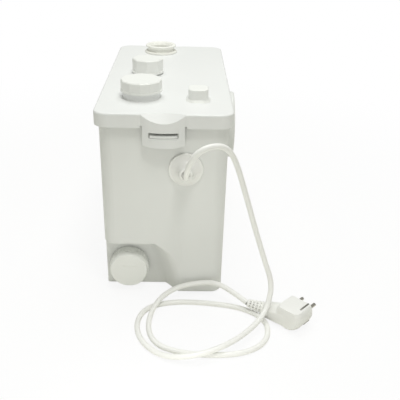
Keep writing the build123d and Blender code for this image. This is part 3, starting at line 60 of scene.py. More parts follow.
class Value:
    """One socket of a material, used in plain arithmetic."""

    def __init__(self, finish, socket):
        self.finish = finish
        self.socket = socket

    def maths(self, operation, *values):
        return self.finish.add("ShaderNodeMath", {"operation": operation}, list(values))

    def __add__(self, other):
        return self.maths("ADD", self, other)

    def __rsub__(self, other):
        return self.maths("SUBTRACT", other, self)

    def __mul__(self, other):
        return self.maths("MULTIPLY", self, other)

    def __gt__(self, other):
        return self.maths("GREATER_THAN", self, other)

    def __lt__(self, other):
        return self.maths("LESS_THAN", self, other)

    def between(self, low, high):
        """0 at low, 1 at high, smooth and clamped."""
        return self.finish.add(
            "ShaderNodeMapRange",
            {"interpolation_type": "SMOOTHSTEP"},
            {"Value": self, "From Min": low, "From Max": high},
        )


class Finish:
    """A material built from its Principled shader outwards."""

    def __init__(self, name):
        self.material = bpy.data.materials.new(name)
        self.material.use_nodes = True
        self.tree = self.material.node_tree
        self.shader = self.tree.nodes["Principled BSDF"]

    def add(self, kind, settings=None, inputs=None, output=0):
        node = self.tree.nodes.new(kind)
        for key, value in (settings or {}).items():
            setattr(node, key, value)
        pairs = enumerate(inputs) if isinstance(inputs, (list, tuple)) else (inputs or {}).items()
        for key, value in pairs:
            self.put(node.inputs[key], value)
        return Value(self, node.outputs[output])

    def put(self, socket, value):
        if isinstance(value, Value):
            self.tree.links.new(value.socket, socket)
        elif hasattr(value, "__len__") and len(value) == 3 and socket.type == "RGBA":
            socket.default_value = (*value, 1.0)
        else:
            socket.default_value = value

    def set(self, **sockets):
        for name, value in sockets.items():
            self.put(self.shader.inputs[name.replace("_", " ")], value)
        return self

    @property
    def place(self):
        return self.add("ShaderNodeTexCoord", output="Object")

    def split(self):
        node = self.tree.nodes.new("ShaderNodeSeparateXYZ")
        self.put(node.inputs[0], self.place)
        return [Value(self, out) for out in node.outputs]

    def noise(self, scale, detail=3.0, rough=0.5, stretch=(1, 1, 1)):
        where = self.add("ShaderNodeMapping", None, {"Vector": self.place, "Scale": stretch})
        return self.add(
            "ShaderNodeTexNoise",
            None,
            {"Vector": where, "Scale": scale, "Detail": detail, "Roughness": rough},
        )

    def cells(self, scale):
        return self.add("ShaderNodeTexVoronoi", None, {"Vector": self.place, "Scale": scale})

    def blend(self, share, first, second):
        return self.add(
            "ShaderNodeMix",
            {"data_type": "RGBA"},
            {0: share, 6: first, 7: second},
            output=2,
        )

    def bump(self, height, strength, distance):
        return self.add(
            "ShaderNodeBump",
            None,
            {"Height": height, "Strength": strength, "Distance": distance},
        )


# Fineness of the lathe's lines on turned metal, per metre
CUT_LINES = 2600.0

# Height of one ring of lacquered windings above and below the laminations
WINDING_HIGH = 0.009


def shade(colour, factor):
    return tuple(min(1.0, c * factor) for c in colour[:3])


def moulded(name, colour, rough=0.32, grain=0.12):
    """Injection-moulded plastic: a fine spark-eroded grain, a slight drift
    of tone and roughness over the wall, and faint handling scuffs."""
    finish = Finish(name)
    drift = finish.noise(9.0, 3.0)
    grain_height = finish.noise(1500.0, 2.0)
    scuff = finish.noise(55.0, 6.0, 0.7, (1.0, 1.0, 0.25)).between(0.62, 0.74)
    base = finish.blend(drift, shade(colour, 0.985), shade(colour, 1.012))
    finish.set(
        Base_Color=finish.blend(scuff * 0.2, base, shade(colour, 0.955)),
        Roughness=drift * 0.08 + scuff * 0.10 + (rough - 0.04),
        Normal=finish.bump(grain_height, grain, 0.0004),
        IOR=1.5,
    )
    return finish.material


def rubbery(name, colour, rough=0.62, mottle=0.12):
    """Moulded rubber: matte, slightly dusty, with a soft cloudy tone."""
    finish = Finish(name)
    cloud = finish.noise(38.0, 5.0, 0.6)
    fine = finish.noise(900.0, 3.0)
    finish.set(
        Base_Color=finish.blend(cloud, shade(colour, 1 - mottle), shade(colour, 1 + mottle)),
        Roughness=cloud * 0.16 + (rough - 0.08),
        Normal=finish.bump(fine + cloud, 0.2, 0.0005),
    )
    return finish.material


def turned_steel(name, colour, rough=0.3):
    """Turned or rolled metal: fine lines along the lathe's cut and a slight
    stain in places."""
    finish = Finish(name)
    lines = finish.noise(1.0, 4.0, 0.6, (CUT_LINES * 0.08, CUT_LINES * 0.08, CUT_LINES))
    stain = finish.noise(60.0, 4.0, 0.65)
    finish.set(
        Base_Color=finish.blend(stain, shade(colour, 0.86), colour),
        Metallic=1.0,
        Roughness=lines * 0.14 + stain * 0.1 + (rough - 0.1),
        Normal=finish.bump(lines, 0.12, 0.0002),
    )
    return finish.material


def cast_metal(name, colour, rough=0.5):
    """Die-cast housing: grey metal with a pebbled skin and dull patches."""
    finish = Finish(name)
    pebble = finish.cells(420.0)
    patch = finish.noise(24.0, 5.0, 0.6)
    finish.set(
        Base_Color=finish.blend(patch, shade(colour, 0.8), shade(colour, 1.05)),
        Metallic=1.0,
        Roughness=patch * 0.2 + pebble * 0.12 + (rough - 0.12),
        Normal=finish.bump(pebble + patch * 0.4, 0.35, 0.0004),
    )
    return finish.material


def stator_finish():
    """Steel laminations between two rings of lacquered copper wire."""
    finish = Finish("stator laminations and copper")
    low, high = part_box("stator")
    rise = finish.split()[2]
    copper = (rise < low.z + WINDING_HIGH) + (rise > high.z - WINDING_HIGH)
    sheets = finish.add(
        "ShaderNodeTexWave",
        {"bands_direction": "Z", "wave_type": "BANDS"},
        {"Vector": finish.place, "Scale": 900.0, "Distortion": 0.3},
        output=1,
    )
    strands = finish.noise(1.0, 3.0, 0.5, (120.0, 120.0, 1100.0))
    stain = finish.noise(40.0, 4.0)
    steel = finish.blend(stain, (0.33, 0.33, 0.34), (0.5, 0.5, 0.51))
    wire = finish.blend(strands, (0.42, 0.15, 0.06), (0.78, 0.36, 0.17))
    finish.set(
        Base_Color=finish.blend(copper, steel, wire),
        Metallic=0.9,
        Roughness=stain * 0.2 + 0.3,
        Normal=finish.bump(sheets * (1 - copper) + strands * copper, 0.3, 0.0005),
    )
    return finish.material


def foam_finish():
    finish = Finish("filter foam")
    pores = finish.cells(900.0)
    finish.set(
        Base_Color=finish.blend(pores, (0.02, 0.02, 0.02), (0.09, 0.09, 0.09)),
        Roughness=0.95,
        Normal=finish.bump(pores, 0.9, 0.001),
    )
    return finish.material


def lead_finish(name, colour):
    """Soft white cable sheath: satin, with the faint lie of its cores."""
    finish = Finish(name)
    cloud = finish.noise(20.0, 4.0)
    twist = finish.noise(130.0, 2.0)
    finish.set(
        Base_Color=finish.blend(cloud, shade(colour, 0.97), shade(colour, 1.01)),
        Roughness=cloud * 0.1 + 0.36,
        Normal=finish.bump(twist * 0.5 + finish.noise(1600.0, 2.0) * 0.3, 0.12, 0.0005),
    )
    return finish.material


def paint(material, *names):
    """Gives a CAD node a finish."""
    for name in names:
        node = NODES[name]
        node.data.materials.clear()
        node.data.materials.append(material)


# Modelling helpers


def start_clean():
    if bpy.context.object and bpy.context.object.mode != "OBJECT":
        bpy.ops.object.mode_set(mode="OBJECT")
    bpy.ops.object.select_all(action="DESELECT")


def settle(piece, name, body, material, angle=40):
    """Names a piece, puts its place in its mesh, shades it and lets it ride."""
    start_clean()
    piece.select_set(True)
    bpy.context.view_layer.objects.active = piece
    bpy.ops.object.transform_apply(location=True, rotation=True, scale=True)
    bpy.ops.object.shade_smooth_by_angle(angle=math.radians(angle))
    piece.name = name
    piece.data.name = name
    piece.data.materials.clear()
    piece.data.materials.append(material)
    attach(piece, body)
    return piece


def add(kind, scale=(1.0, 1.0, 1.0), **settings):
    """Adds a primitive with its place in its mesh, open for editing."""
    start_clean()
    getattr(bpy.ops.mesh, "primitive_" + kind + "_add")(**settings)
    bpy.context.object.scale = scale
    bpy.ops.object.transform_apply(location=True, rotation=True, scale=True)
    bpy.ops.object.mode_set(mode="EDIT")
    return bpy.context.object


def pick(kind, test):
    """Selects the faces or edges being edited whose middle and normal, or
    middle and direction, pass a test."""
    bpy.ops.mesh.select_mode(type=kind)
    bpy.ops.mesh.select_all(action="DESELECT")
    shape = bmesh.from_edit_mesh(bpy.context.object.data)
    if kind == "FACE":
        chosen = [face for face in shape.faces if test(face.calc_center_median(), face.normal)]
    else:
        ends = [(edge, edge.verts[0].co, edge.verts[1].co) for edge in shape.edges]
        chosen = [edge for edge, one, two in ends if test((one + two) / 2, (two - one).normalized())]
    for item in chosen:
        item.select_set(True)
    bmesh.update_edit_mesh(bpy.context.object.data)
    if not chosen:
        raise RuntimeError("nothing to select on " + bpy.context.object.name)


def close_up():
    """Merges doubles, caps the open ends and turns the faces outwards."""
    bpy.ops.mesh.select_mode(type="VERT")
    bpy.ops.mesh.select_all(action="SELECT")
    bpy.ops.mesh.remove_doubles(threshold=1e-6)
    bpy.ops.mesh.fill_holes(sides=0)
    bpy.ops.mesh.select_all(action="SELECT")
    bpy.ops.mesh.normals_make_consistent(inside=False)
    bpy.ops.object.mode_set(mode="OBJECT")


def turn(centre, axis, rings, sides=72):
    """Turns a piece as on a lathe: a circle is extruded along the axis and
    resized at each step. A ring is its radius and its place, in millimetres."""
    centre, axis = Vector(centre), Vector(axis).normalized()
    rings = [(radius / 1000, along / 1000) for radius, along in rings]
    piece = add(
        "circle",
        vertices=sides,
        radius=rings[0][0],
        location=centre + axis * rings[0][1],
        rotation=axis.to_track_quat("Z", "Y").to_euler(),
    )
    bpy.ops.mesh.select_mode(type="VERT")
    bpy.ops.mesh.select_all(action="SELECT")
    for (radius, along), (wider, further) in zip(rings, rings[1:]):
        bpy.ops.mesh.extrude_region_move(TRANSFORM_OT_translate={"value": axis * (further - along)})
        bpy.ops.transform.resize(value=(wider / radius,) * 3, center_override=centre + axis * further)
    close_up()
    return piece


def arc_bar(centre, radius, height, deep, tall, half_width, steps=20):
    """Sweeps a bar round an upright axis, centred on the direction -y, with
    its middle at the radius and the height."""
    reach = math.asin(half_width / radius)
    start = -math.pi / 2 + reach
    place = (centre[0] + radius * math.cos(start), centre[1] + radius * math.sin(start), height)
    facing = (math.pi / 2, 0.0, start)
    piece = add("plane", size=1.0, location=place, rotation=facing, scale=(deep, tall, 1.0))
    bpy.ops.mesh.select_all(action="SELECT")
    bpy.ops.mesh.spin(steps=steps, angle=2 * reach, center=(*centre, height), axis=(0.0, 0.0, 1.0))
    close_up()
    return piece


def soften(width, segments=3, angle=35):
    """Rounds the active piece's sharp edges."""
    piece = bpy.context.object
    bpy.ops.object.modifier_add(type="BEVEL")
    bevel = piece.modifiers[-1]
    bevel.width = width
    bevel.segments = segments
    bevel.limit_method = "ANGLE"
    bevel.angle_limit = math.radians(angle)
    bpy.ops.object.modifier_apply(modifier=bevel.name)


def twin(piece, name, body, material):
    """Copies a finished piece to the far end, mirrored across y."""
    start_clean()
    piece.select_set(True)
    bpy.context.view_layer.objects.active = piece
    bpy.ops.object.duplicate(linked=False)
    copy = bpy.context.object
    bpy.ops.object.mode_set(mode="EDIT")
    bpy.ops.mesh.select_all(action="SELECT")
    bpy.ops.transform.mirror(constraint_axis=(False, True, False), center_override=(0.0, 0.0, 0.0))
    bpy.ops.mesh.normals_make_consistent(inside=False)
    bpy.ops.object.mode_set(mode="OBJECT")
    return settle(copy, name, body, material)


# Sizes and colours


def colour_setting(name, description, default):
    return bpy.props.FloatVectorProperty(name=name, description=description, subtype="COLOR", default=default)


class PumpColours(bpy.types.PropertyGroup):
    tank: colour_setting("Tank", "Colour of the tank's plastic", (0.80, 0.81, 0.795))
    lid: colour_setting("Lid", "Colour of the lid's plastic", (0.83, 0.84, 0.835))
    caps: colour_setting("Caps", "Colour of the screw caps", (0.89, 0.90, 0.875))
    sleeve: colour_setting("Sleeve", "Colour of the rubber outlet sleeve", (0.90, 0.90, 0.85))
    lead: colour_setting("Lead", "Colour of the lead and its plug", (0.95, 0.95, 0.93))


class PumpSizes(bpy.types.PropertyGroup):
    lead_diameter: bpy.props.FloatProperty(
        name="Lead diameter",
        description="Diameter of the mains lead",
        subtype="DISTANCE",
        unit="LENGTH",
        default=0.007,
    )
    lens: bpy.props.FloatProperty(
        name="Lens",
        description="Focal length of the camera on a 36 mm frame, in millimetres",
        default=54.54,
    )


# Route of the lead from the gland to the plug's boot, in metres
LEAD_ROUTE = [
    (0.02205, -0.1975, 0.1920),
    (0.0221, -0.2080, 0.1930),
    (0.0223, -0.2270, 0.2010),
    (0.0230, -0.2445, 0.2170),
    (0.0262, -0.2565, 0.2335),
    (0.0350, -0.2595, 0.2480),
    (0.0505, -0.2570, 0.2550),
    (0.0680, -0.2470, 0.2500),
    (0.0805, -0.2345, 0.2280),
    (0.0950, -0.2250, 0.1820),
    (0.1108, -0.2210, 0.1300),
    (0.1260, -0.2240, 0.0840),
    (0.13905, -0.2280, 0.0480),
    (0.1300, -0.2470, 0.0190),
    (0.1080, -0.2750, 0.0120),
    (0.0760, -0.3080, 0.0140),
    (0.0370, -0.3270, 0.0130),
    (-0.0020, -0.3190, 0.0036),
    (-0.0300, -0.2930, 0.0036),
    (-0.0410, -0.2570, 0.0036),
    (-0.0310, -0.2210, 0.0036),
    (0.0040, -0.2060, 0.0036),
    (0.0500, -0.2070, 0.0036),
    (0.1040, -0.2180, 0.0036),
    (0.1340, -0.2480, 0.0036),
    (0.1280, -0.2890, 0.0036),
    (0.0980, -0.3110, 0.0036),
    (0.0560, -0.3150, 0.0036),
    (0.0160, -0.3100, 0.0036),
    (-0.0140, -0.2950, 0.0036),
    (-0.0260, -0.2600, 0.0040),
    (-0.0170, -0.2220, 0.0130),
    (0.0060, -0.1940, 0.0170),
    (0.0360, -0.1870, 0.0220),
    (0.0660, -0.1900, 0.0260),
    (0.0900, -0.2080, 0.0215),
    (0.1075, -0.2235, 0.0160),
]

# Ends of the plug's boot, the middle of the plug's head and the head's own
# directions: across to its neck, and out along its pins
BOOT = ((0.1311, -0.2300, 0.0115), (0.1075, -0.2235, 0.0160))
PLUG_SEAT = (0.1661, -0.2490, 0.0195)
PLUG_ACROSS = (-0.7218, 0.6921, 0.0)
PLUG_OUT = (0.6921, 0.7218, 0.0)

# The near wall's face at the gland, and the radius of a latch's bulged face
NEAR_WALL = -0.1805
BULGE_RADIUS = 0.07308

# Blend of a recess into the end wall, in millimetres: at each height, where it
# leaves the recess's back and where it meets the wall's face
BLEND_BACK = -155.6
BLEND_ROWS = [
    (80.7, -36.0, -19.0),
    (78.0, -34.0, -15.0),
    (70.0, -30.0, -3.0),
    (60.0, -27.0, 7.0),
    (47.0, -23.0, 13.0),
    (32.0, -18.0, 16.0),
    (17.0, -13.0, 16.5),
    (6.0, -10.0, 17.0),
    (2.6, -9.0, 17.0),
]

# Shape of the blend between the two, as shares of the way across and out
BLEND_CURVE = [(-0.12, 0.0), (0.04, 0.0), (0.25, 0.13), (0.48, 0.45), (0.7, 0.8), (0.9, 0.985), (1.0, 1.0)]

# The end wall's face over the recess: its y at the foot and its lean, and the
# places where the blend lies on it and then dips behind it
WALL_FOOT = -179.18
WALL_LEAN = -0.0052
BLEND_LIES = 19.5
BLEND_DIPS = 22.5
BLEND_DIP = 0.9
BLEND_THICK = 0.0015


class PUMP_OT_lead(bpy.types.Operator):
    """Lay the mains lead from the gland to the plug"""

    bl_idname = "pump.lead"
    bl_label = "Mains lead"

    def execute(self, context):
        start_clean()
        sizes = context.scene.pump_sizes
        curve = bpy.data.curves.new("mains_lead", "CURVE")
        curve.dimensions = "3D"
        spline = curve.splines.new("NURBS")
        spline.points.add(len(LEAD_ROUTE) - 1)
        for point, place in zip(spline.points, LEAD_ROUTE):
            point.co = (*place, 1.0)
        spline.order_u = 3
        spline.use_endpoint_u = True
        spline.resolution_u = 10
        curve.bevel_depth = sizes.lead_diameter / 2
        curve.bevel_resolution = 6
        lead = bpy.data.objects.new("mains_lead", curve)
        context.scene.collection.objects.link(lead)
        curve.materials.append(lead_finish("lead sheath", context.scene.pump_colours.lead))
        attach(lead, "base")
        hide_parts("mains_cord")
        return {"FINISHED"}


class PUMP_OT_gland(bpy.types.Operator):
    """Turn the cable gland, with its rim bead, cone and rounded nose"""

    bl_idname = "pump.gland"
    bl_label = "Cable gland"

    def execute(self, context):
        low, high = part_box("cable_gland")
        middle = (low + high) / 2
        inner = (NEAR_WALL - high.y) * 1000
        # Stub through the wall, then the flange with its rim bead
        rings = [(9.0, inner), (9.0, 0.0), (21.9, 0.0), (22.4, 0.4), (22.5, 1.1), (22.4, 1.9), (22.0, 2.4)]
        rings += [(21.4, 2.6), (20.7, 2.45), (20.2, 2.4)]
        # Cone, nose and rounded mouth
        rings += [(18.6, 3.0), (15.6, 4.4), (12.6, 6.6), (10.6, 9.4), (9.6, 12.0), (9.1, 14.4), (8.8, 16.6)]
        rings += [(8.6, 18.4), (8.3, 19.6), (7.7, 20.4), (7.0, 20.6), (6.3, 20.5), (5.7, 20.0)]
        # Way in for the lead
        rings += [(5.3, 18.8), (5.2, 16.5), (3.3, 16.5)]
        colour = shade(context.scene.pump_colours.lead, 0.94)
        gland = turn((middle.x, NEAR_WALL, middle.z), (0, -1, 0), rings)
        settle(gland, "gland_body", "base", moulded("gland gloss", colour, 0.26, 0.06))
        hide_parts("cable_gland")
        return {"FINISHED"}


class PUMP_OT_sleeve(bpy.types.Operator):
    """Turn the rubber outlet sleeve, with its flange, neck and rolled lip"""

    bl_idname = "pump.sleeve"
    bl_label = "Outlet sleeve"

    def execute(self, context):
        low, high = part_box("outlet_sleeve")
        middle = (low + high) / 2
        # Tapered skirt inside the lid, neck through it and flange on it
        rings = [(15.8, 244.0), (18.2, 244.0), (21.0, 262.6), (21.0, 264.0), (19.6, 264.0), (19.6, 267.0)]
        rings += [(26.2, 267.0), (26.7, 267.5), (26.7, 268.6), (26.3, 269.5), (25.6, 270.0), (22.6, 270.3)]
        # Waist and rolled lip
        rings += [(21.8, 270.8), (21.5, 271.6), (21.5, 274.4), (22.0, 275.4), (23.6, 276.2), (24.7, 277.0)]
        rings += [(25.0, 278.0), (24.8, 279.0), (24.1, 279.6), (23.0, 279.8), (20.6, 279.8), (19.6, 279.4)]
        # Throat, with the inner stop for the pipe
        rings += [(18.8, 278.4), (17.4, 276.2), (16.4, 275.0), (16.1, 274.2), (16.1, 260.4), (14.0, 260.3)]
        rings += [(14.0, 258.3), (15.8, 258.3), (15.8, 244.0)]
        rubber = rubbery("cream sleeve", context.scene.pump_colours.sleeve, 0.42, 0.015)
        sleeve = turn((middle.x, middle.y, 0.0), (0, 0, 1), rings)
        settle(sleeve, "outlet_lip", "lid", rubber)
        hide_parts("outlet_sleeve")
        return {"FINISHED"}


class PUMP_OT_latch_trim(bpy.types.Operator):
    """Add the rounded bar that bridges each latch's slot, and its lip"""

    bl_idname = "pump.latch_trim"
    bl_label = "Latch bars"

    def execute(self, context):
        finish = moulded("latch gloss", context.scene.pump_colours.lid, 0.22, 0.05)
        low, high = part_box("near_latch")
        middle = (low.x + high.x) / 2
        hub = (middle, low.y + BULGE_RADIUS)
        bar = arc_bar(
            hub, radius=BULGE_RADIUS - 0.0011, height=0.2391, deep=0.0018, tall=0.0032, half_width=0.0172
        )
        soften(0.0008, 3)
        settle(bar, "near_latch_bar", "near_latch", finish)
        lip = arc_bar(
            hub, radius=BULGE_RADIUS + 0.0001, height=0.2358, deep=0.0006, tall=0.0011, half_width=0.0165
        )
        soften(0.00025, 2)
        settle(lip, "near_latch_lip", "near_latch", finish)
        twin(bar, "far_latch_bar", "far_latch", finish)
        twin(lip, "far_latch_lip", "far_latch", finish)
        return {"FINISHED"}


class PUMP_OT_blends(bpy.types.Operator):
    """Blend the inner wall of each recess softly into the end wall"""

    bl_idname = "pump.blends"
    bl_label = "Recess blends"

    def execute(self, context):
        finish = NODES["tank"].data.materials[0]
        places = []
        for height, inner, outer in BLEND_ROWS:
            wall = WALL_FOOT + WALL_LEAN * height
            row = [
                (inner + (outer - inner) * across, BLEND_BACK + (wall - BLEND_BACK) * out)
                for across, out in BLEND_CURVE
            ]
            row += [(BLEND_LIES, wall), (BLEND_DIPS, wall + BLEND_DIP)]
            places += [(x / 1000, y / 1000, height / 1000) for x, y in row]

        blend = add("grid", x_subdivisions=len(row) - 1, y_subdivisions=len(BLEND_ROWS) - 1, size=1.0)
        shape = bmesh.from_edit_mesh(blend.data)
        verts = sorted(shape.verts, key=lambda vert: (-round(vert.co.y, 4), vert.co.x))
        for vert, place in zip(verts, places, strict=True):
            vert.co = place
        bmesh.update_edit_mesh(blend.data)
        bpy.ops.object.mode_set(mode="OBJECT")
        bpy.ops.object.modifier_add(type="SUBSURF")
        smooth = blend.modifiers[-1]
        smooth.levels = 3
        bpy.ops.object.modifier_apply(modifier=smooth.name)
        bpy.ops.object.modifier_add(type="SOLIDIFY")
        skin = blend.modifiers[-1]
        skin.thickness = BLEND_THICK
        skin.offset = -1.0
        bpy.ops.object.modifier_apply(modifier=skin.name)
        bpy.ops.object.mode_set(mode="EDIT")
        bpy.ops.mesh.select_all(action="SELECT")
        bpy.ops.mesh.normals_make_consistent(inside=False)
        bpy.ops.object.mode_set(mode="OBJECT")
        settle(blend, "near_recess_blend", "base", finish, 60)
        twin(blend, "far_recess_blend", "base", finish)
        return {"FINISHED"}


class PUMP_OT_cap_fronts(bpy.types.Operator):
    """Add the raised grip on the front of each low cap"""

    bl_idname = "pump.cap_fronts"
    bl_label = "Low cap fronts"

    def execute(self, context):
        finish = moulded("cap front plastic", context.scene.pump_colours.caps, 0.34, 0.1)
        low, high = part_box("near_cap")
        middle = (low + high) / 2
        aside, rise, fade = 0.0015, 0.0065, 0.0012
        grip_long, grip_deep, grip_tall = 0.019, 0.0014, 0.0060
        centre = Vector((middle.x + aside, low.y, middle.z + rise))
        grip = add("cube", size=1.0, location=centre, scale=(grip_long, grip_deep, grip_tall))
        # The lower edge fades back into the cap's face
        pick("EDGE", lambda place, way: place.y < low.y and place.z < centre.z and abs(way.x) > 0.9)
        bpy.ops.transform.translate(value=(0.0, fade, 0.0))
        bpy.ops.object.mode_set(mode="OBJECT")
        soften(0.0006, 3, 30)
        settle(grip, "near_cap_grip", "near_cap", finish)
        twin(grip, "far_cap_grip", "far_cap", finish)
        return {"FINISHED"}


class PUMP_OT_collar_screws(bpy.types.Operator):
    """Turn one cross-headed screw and set six of them in the collar"""

    bl_idname = "pump.collar_screws"
    bl_label = "Collar screws"

    def execute(self, context):
        low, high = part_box("collar_screws")
        hub = (low + high) / 2
        head_radius = 0.0024
        place = Vector((high.x, hub.y, high.z - head_radius))
        finish = turned_steel("screw steel", (0.66, 0.66, 0.67), 0.26)
        # Thread, then the head's underside, rim and domed top
        rings = [(1.6, -6.0), (1.6, -1.6), (2.3, -1.6), (2.4, -1.4), (2.4, -0.5), (2.2, -0.15), (1.6, 0.0)]
        screw = turn(place, (1, 0, 0), rings, 28)
        slot_deep, slot_long, slot_wide = 0.0016, 0.0028, 0.0006
        blade = add("cube", size=1.0, location=place, scale=(slot_deep, slot_long, slot_wide))
        bpy.ops.mesh.primitive_cube_add(size=1.0, location=place, scale=(slot_deep, slot_wide, slot_long))
        bpy.ops.object.mode_set(mode="OBJECT")
        start_clean()
        screw.select_set(True)
        bpy.context.view_layer.objects.active = screw
        bpy.ops.object.modifier_add(type="BOOLEAN")
        cut = screw.modifiers[-1]
        cut.object = blade
        cut.use_self = True
        bpy.ops.object.modifier_apply(modifier=cut.name)
        bpy.data.objects.remove(blade)
        count = 6
        screws = [screw]
        for step in range(1, count):
            start_clean()
            screw.select_set(True)
            bpy.context.view_layer.objects.active = screw
            bpy.ops.object.duplicate(linked=False)
            copy = bpy.context.object
            spin = Matrix.Rotation(step * math.tau / count, 4, "X")
            copy.matrix_world = Matrix.Translation(hub) @ spin @ Matrix.Translation(-hub)
            screws.append(copy)
        for step, piece in enumerate(screws):
            settle(piece, "collar_screw_%d" % (step + 1), "base", finish)
            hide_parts("collar_screws")
        return {"FINISHED"}


class PUMP_OT_boot(bpy.types.Operator):
    """Model the plug's boot: a tapered core with slotted ridges"""

    bl_idname = "pump.boot"
    bl_label = "Plug boot"

    def execute(self, context):
        start, end = Vector(BOOT[0]), Vector(BOOT[1])
        way = (end - start).normalized()
        long = (end - start).length * 1000
        finish = moulded("boot plastic", context.scene.pump_colours.lead, 0.42, 0.12)
        wide_end, narrowing, groove = 8.8, 3.2, 2.6
        rings = [(7.6, -1.5), (7.6, 0.5)]
        ridges = 5
        pitch = (long - 1.6) / ridges
        for step in range(ridges):
            at = 0.8 + step * pitch
            wide = wide_end - narrowing * step / (ridges - 1)
            core = wide - groove
            rings += [(core, at), (core, at + 0.42 * pitch), (wide - 0.25, at + 0.45 * pitch)]
            rings += [(wide, at + 0.52 * pitch), (wide, at + 0.88 * pitch), (wide - 0.25, at + 0.98 * pitch)]
        rings += [(4.2, long - 0.7), (4.0, long), (3.6, long)]
        boot = turn(start, way, rings, 40)

        # Ten slim bars along the boot part its grooves into slots
        side = way.cross(Vector((0, 0, 1))).normalized()
        rise = side.cross(way)
        lean = math.atan(narrowing / long)
        bridges, bridge_out = 10, 0.0056
        bridge_long, bridge_deep, bridge_wide = 0.0215, 0.0022, 0.0011
        for step in range(bridges):
            angle = (step + 0.5) * math.tau / bridges
            out = side * math.cos(angle) + rise * math.sin(angle)
            along = way * math.cos(lean) - out * math.sin(lean)
            face = out * math.cos(lean) + way * math.sin(lean)
            middle = start + way * (long / 2000) + out * bridge_out
            turned = Matrix((along, face, along.cross(face))).transposed().to_4x4()
            size = Matrix.Diagonal((bridge_long, bridge_deep, bridge_wide, 1.0))
            bridge = add("cube", size=1.0)
            bpy.ops.object.mode_set(mode="OBJECT")
            bridge.matrix_world = Matrix.Translation(middle) @ turned @ size
            bpy.ops.object.transform_apply(location=True, rotation=True, scale=True)
            soften(0.0003, 2)
            boot.select_set(True)
            bpy.context.view_layer.objects.active = boot
            bpy.ops.object.join()
        settle(boot, "plug_boot", "base", finish)
        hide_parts("plug_relief")
        return {"FINISHED"}


class PUMP_OT_plug_head(bpy.types.Operator):
    """Model the angled plug: a turned head with a flat top, a faceted neck,
    the two earth strips in its sides and the finish of its pins"""

    bl_idname = "pump.plug_head"
    bl_label = "Plug head"

    def execute(self, context):
        finish = moulded("plug gloss", shade(context.scene.pump_colours.lead, 0.95), 0.34, 0.1)
        seat, across, out = Vector(PLUG_SEAT), Vector(PLUG_ACROSS), Vector(PLUG_OUT)
        facing = Matrix((across, Vector((0, 0, 1)), out)).transposed().to_4x4()

        def spot(x, y, z):
            """A place in metres, from millimetres across, up and out."""
            return seat + (across * x + Vector((0, 0, y)) + out * z) / 1000

        def block(place, size):
            """A block that faces as the plug does."""
            piece = add("cube", size=1.0)
            bpy.ops.object.mode_set(mode="OBJECT")
            piece.matrix_world = Matrix.Translation(place) @ facing @ Matrix.Diagonal((*size, 1.0))
            bpy.ops.object.transform_apply(location=True, rotation=True, scale=True)
            return piece

        # Head: rounded back, straight side and edge at the pins' face
        rings = [(13.6, -16.7), (15.8, -16.4), (17.6, -14.9), (18.8, -12.4), (19.4, -9.4), (19.5, -6.0)]
        rings += [(19.2, 13.8), (18.9, 15.4), (18.2, 16.4), (17.0, 16.7)]
        head = turn(seat, out, rings, 64)
        bpy.ops.object.mode_set(mode="EDIT")
        flat_top, flat_under = 11.8, -19.3
        for height, upwards in ((flat_top, 1.0), (flat_under, -1.0)):
            bpy.ops.mesh.select_all(action="SELECT")
            bpy.ops.mesh.bisect(
                plane_co=spot(0, height, 0), plane_no=(0.0, 0.0, upwards), use_fill=True, clear_outer=True
            )
        bpy.ops.object.mode_set(mode="OBJECT")
        soften(0.0009, 3, 50)

        # Neck: its far end is smaller and lower, and its upper back edge is a facet
        neck_high, neck_out = -2.5, -7.0
        block(spot(21.0, neck_high, neck_out), (0.034, 0.026, 0.0195))
        bpy.ops.object.mode_set(mode="EDIT")
        pick("FACE", lambda place, normal: normal.dot(across) > 0.9)
        end = spot(38.0, neck_high, neck_out)
        bpy.ops.transform.resize(value=(0.72, 0.72, 0.70), center_override=end)
        bpy.ops.transform.translate(value=spot(38.4, -8.0, -10.5) - end)
        back = spot(0, 0, neck_out).dot(out)

        def upper_back(place, way):
            return abs(way.dot(across)) > 0.8 and place.z > seat.z - 0.004 and place.dot(out) < back

        pick("EDGE", upper_back)
        bpy.ops.mesh.bevel(offset=0.0075, segments=1, affect="EDGES")
        bpy.ops.object.mode_set(mode="OBJECT")
        soften(0.0012, 3, 25)
        head.select_set(True)
        bpy.context.view_layer.objects.active = head
        bpy.ops.object.join()
        settle(head, "plug_shell", "base", finish, 30)
        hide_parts("plug_body")

        metal = turned_steel("earth strip nickel", (0.36, 0.35, 0.32), 0.32)
        for name, place, size in (
            ("plug_earth_top", spot(-11.5, 11.9, 6.5), (0.0022, 0.0012, 0.0190)),
            ("plug_earth_low", spot(-16.0, -10.6, 8.0), (0.0012, 0.0022, 0.0130)),
        ):
            strip = block(place, size)
            soften(0.0003, 2)
            settle(strip, name, "base", metal)
            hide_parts("earth_clips")
        paint(turned_steel("nickel plate", (0.62, 0.60, 0.56), 0.22), "plug_pins")
        return {"FINISHED"}


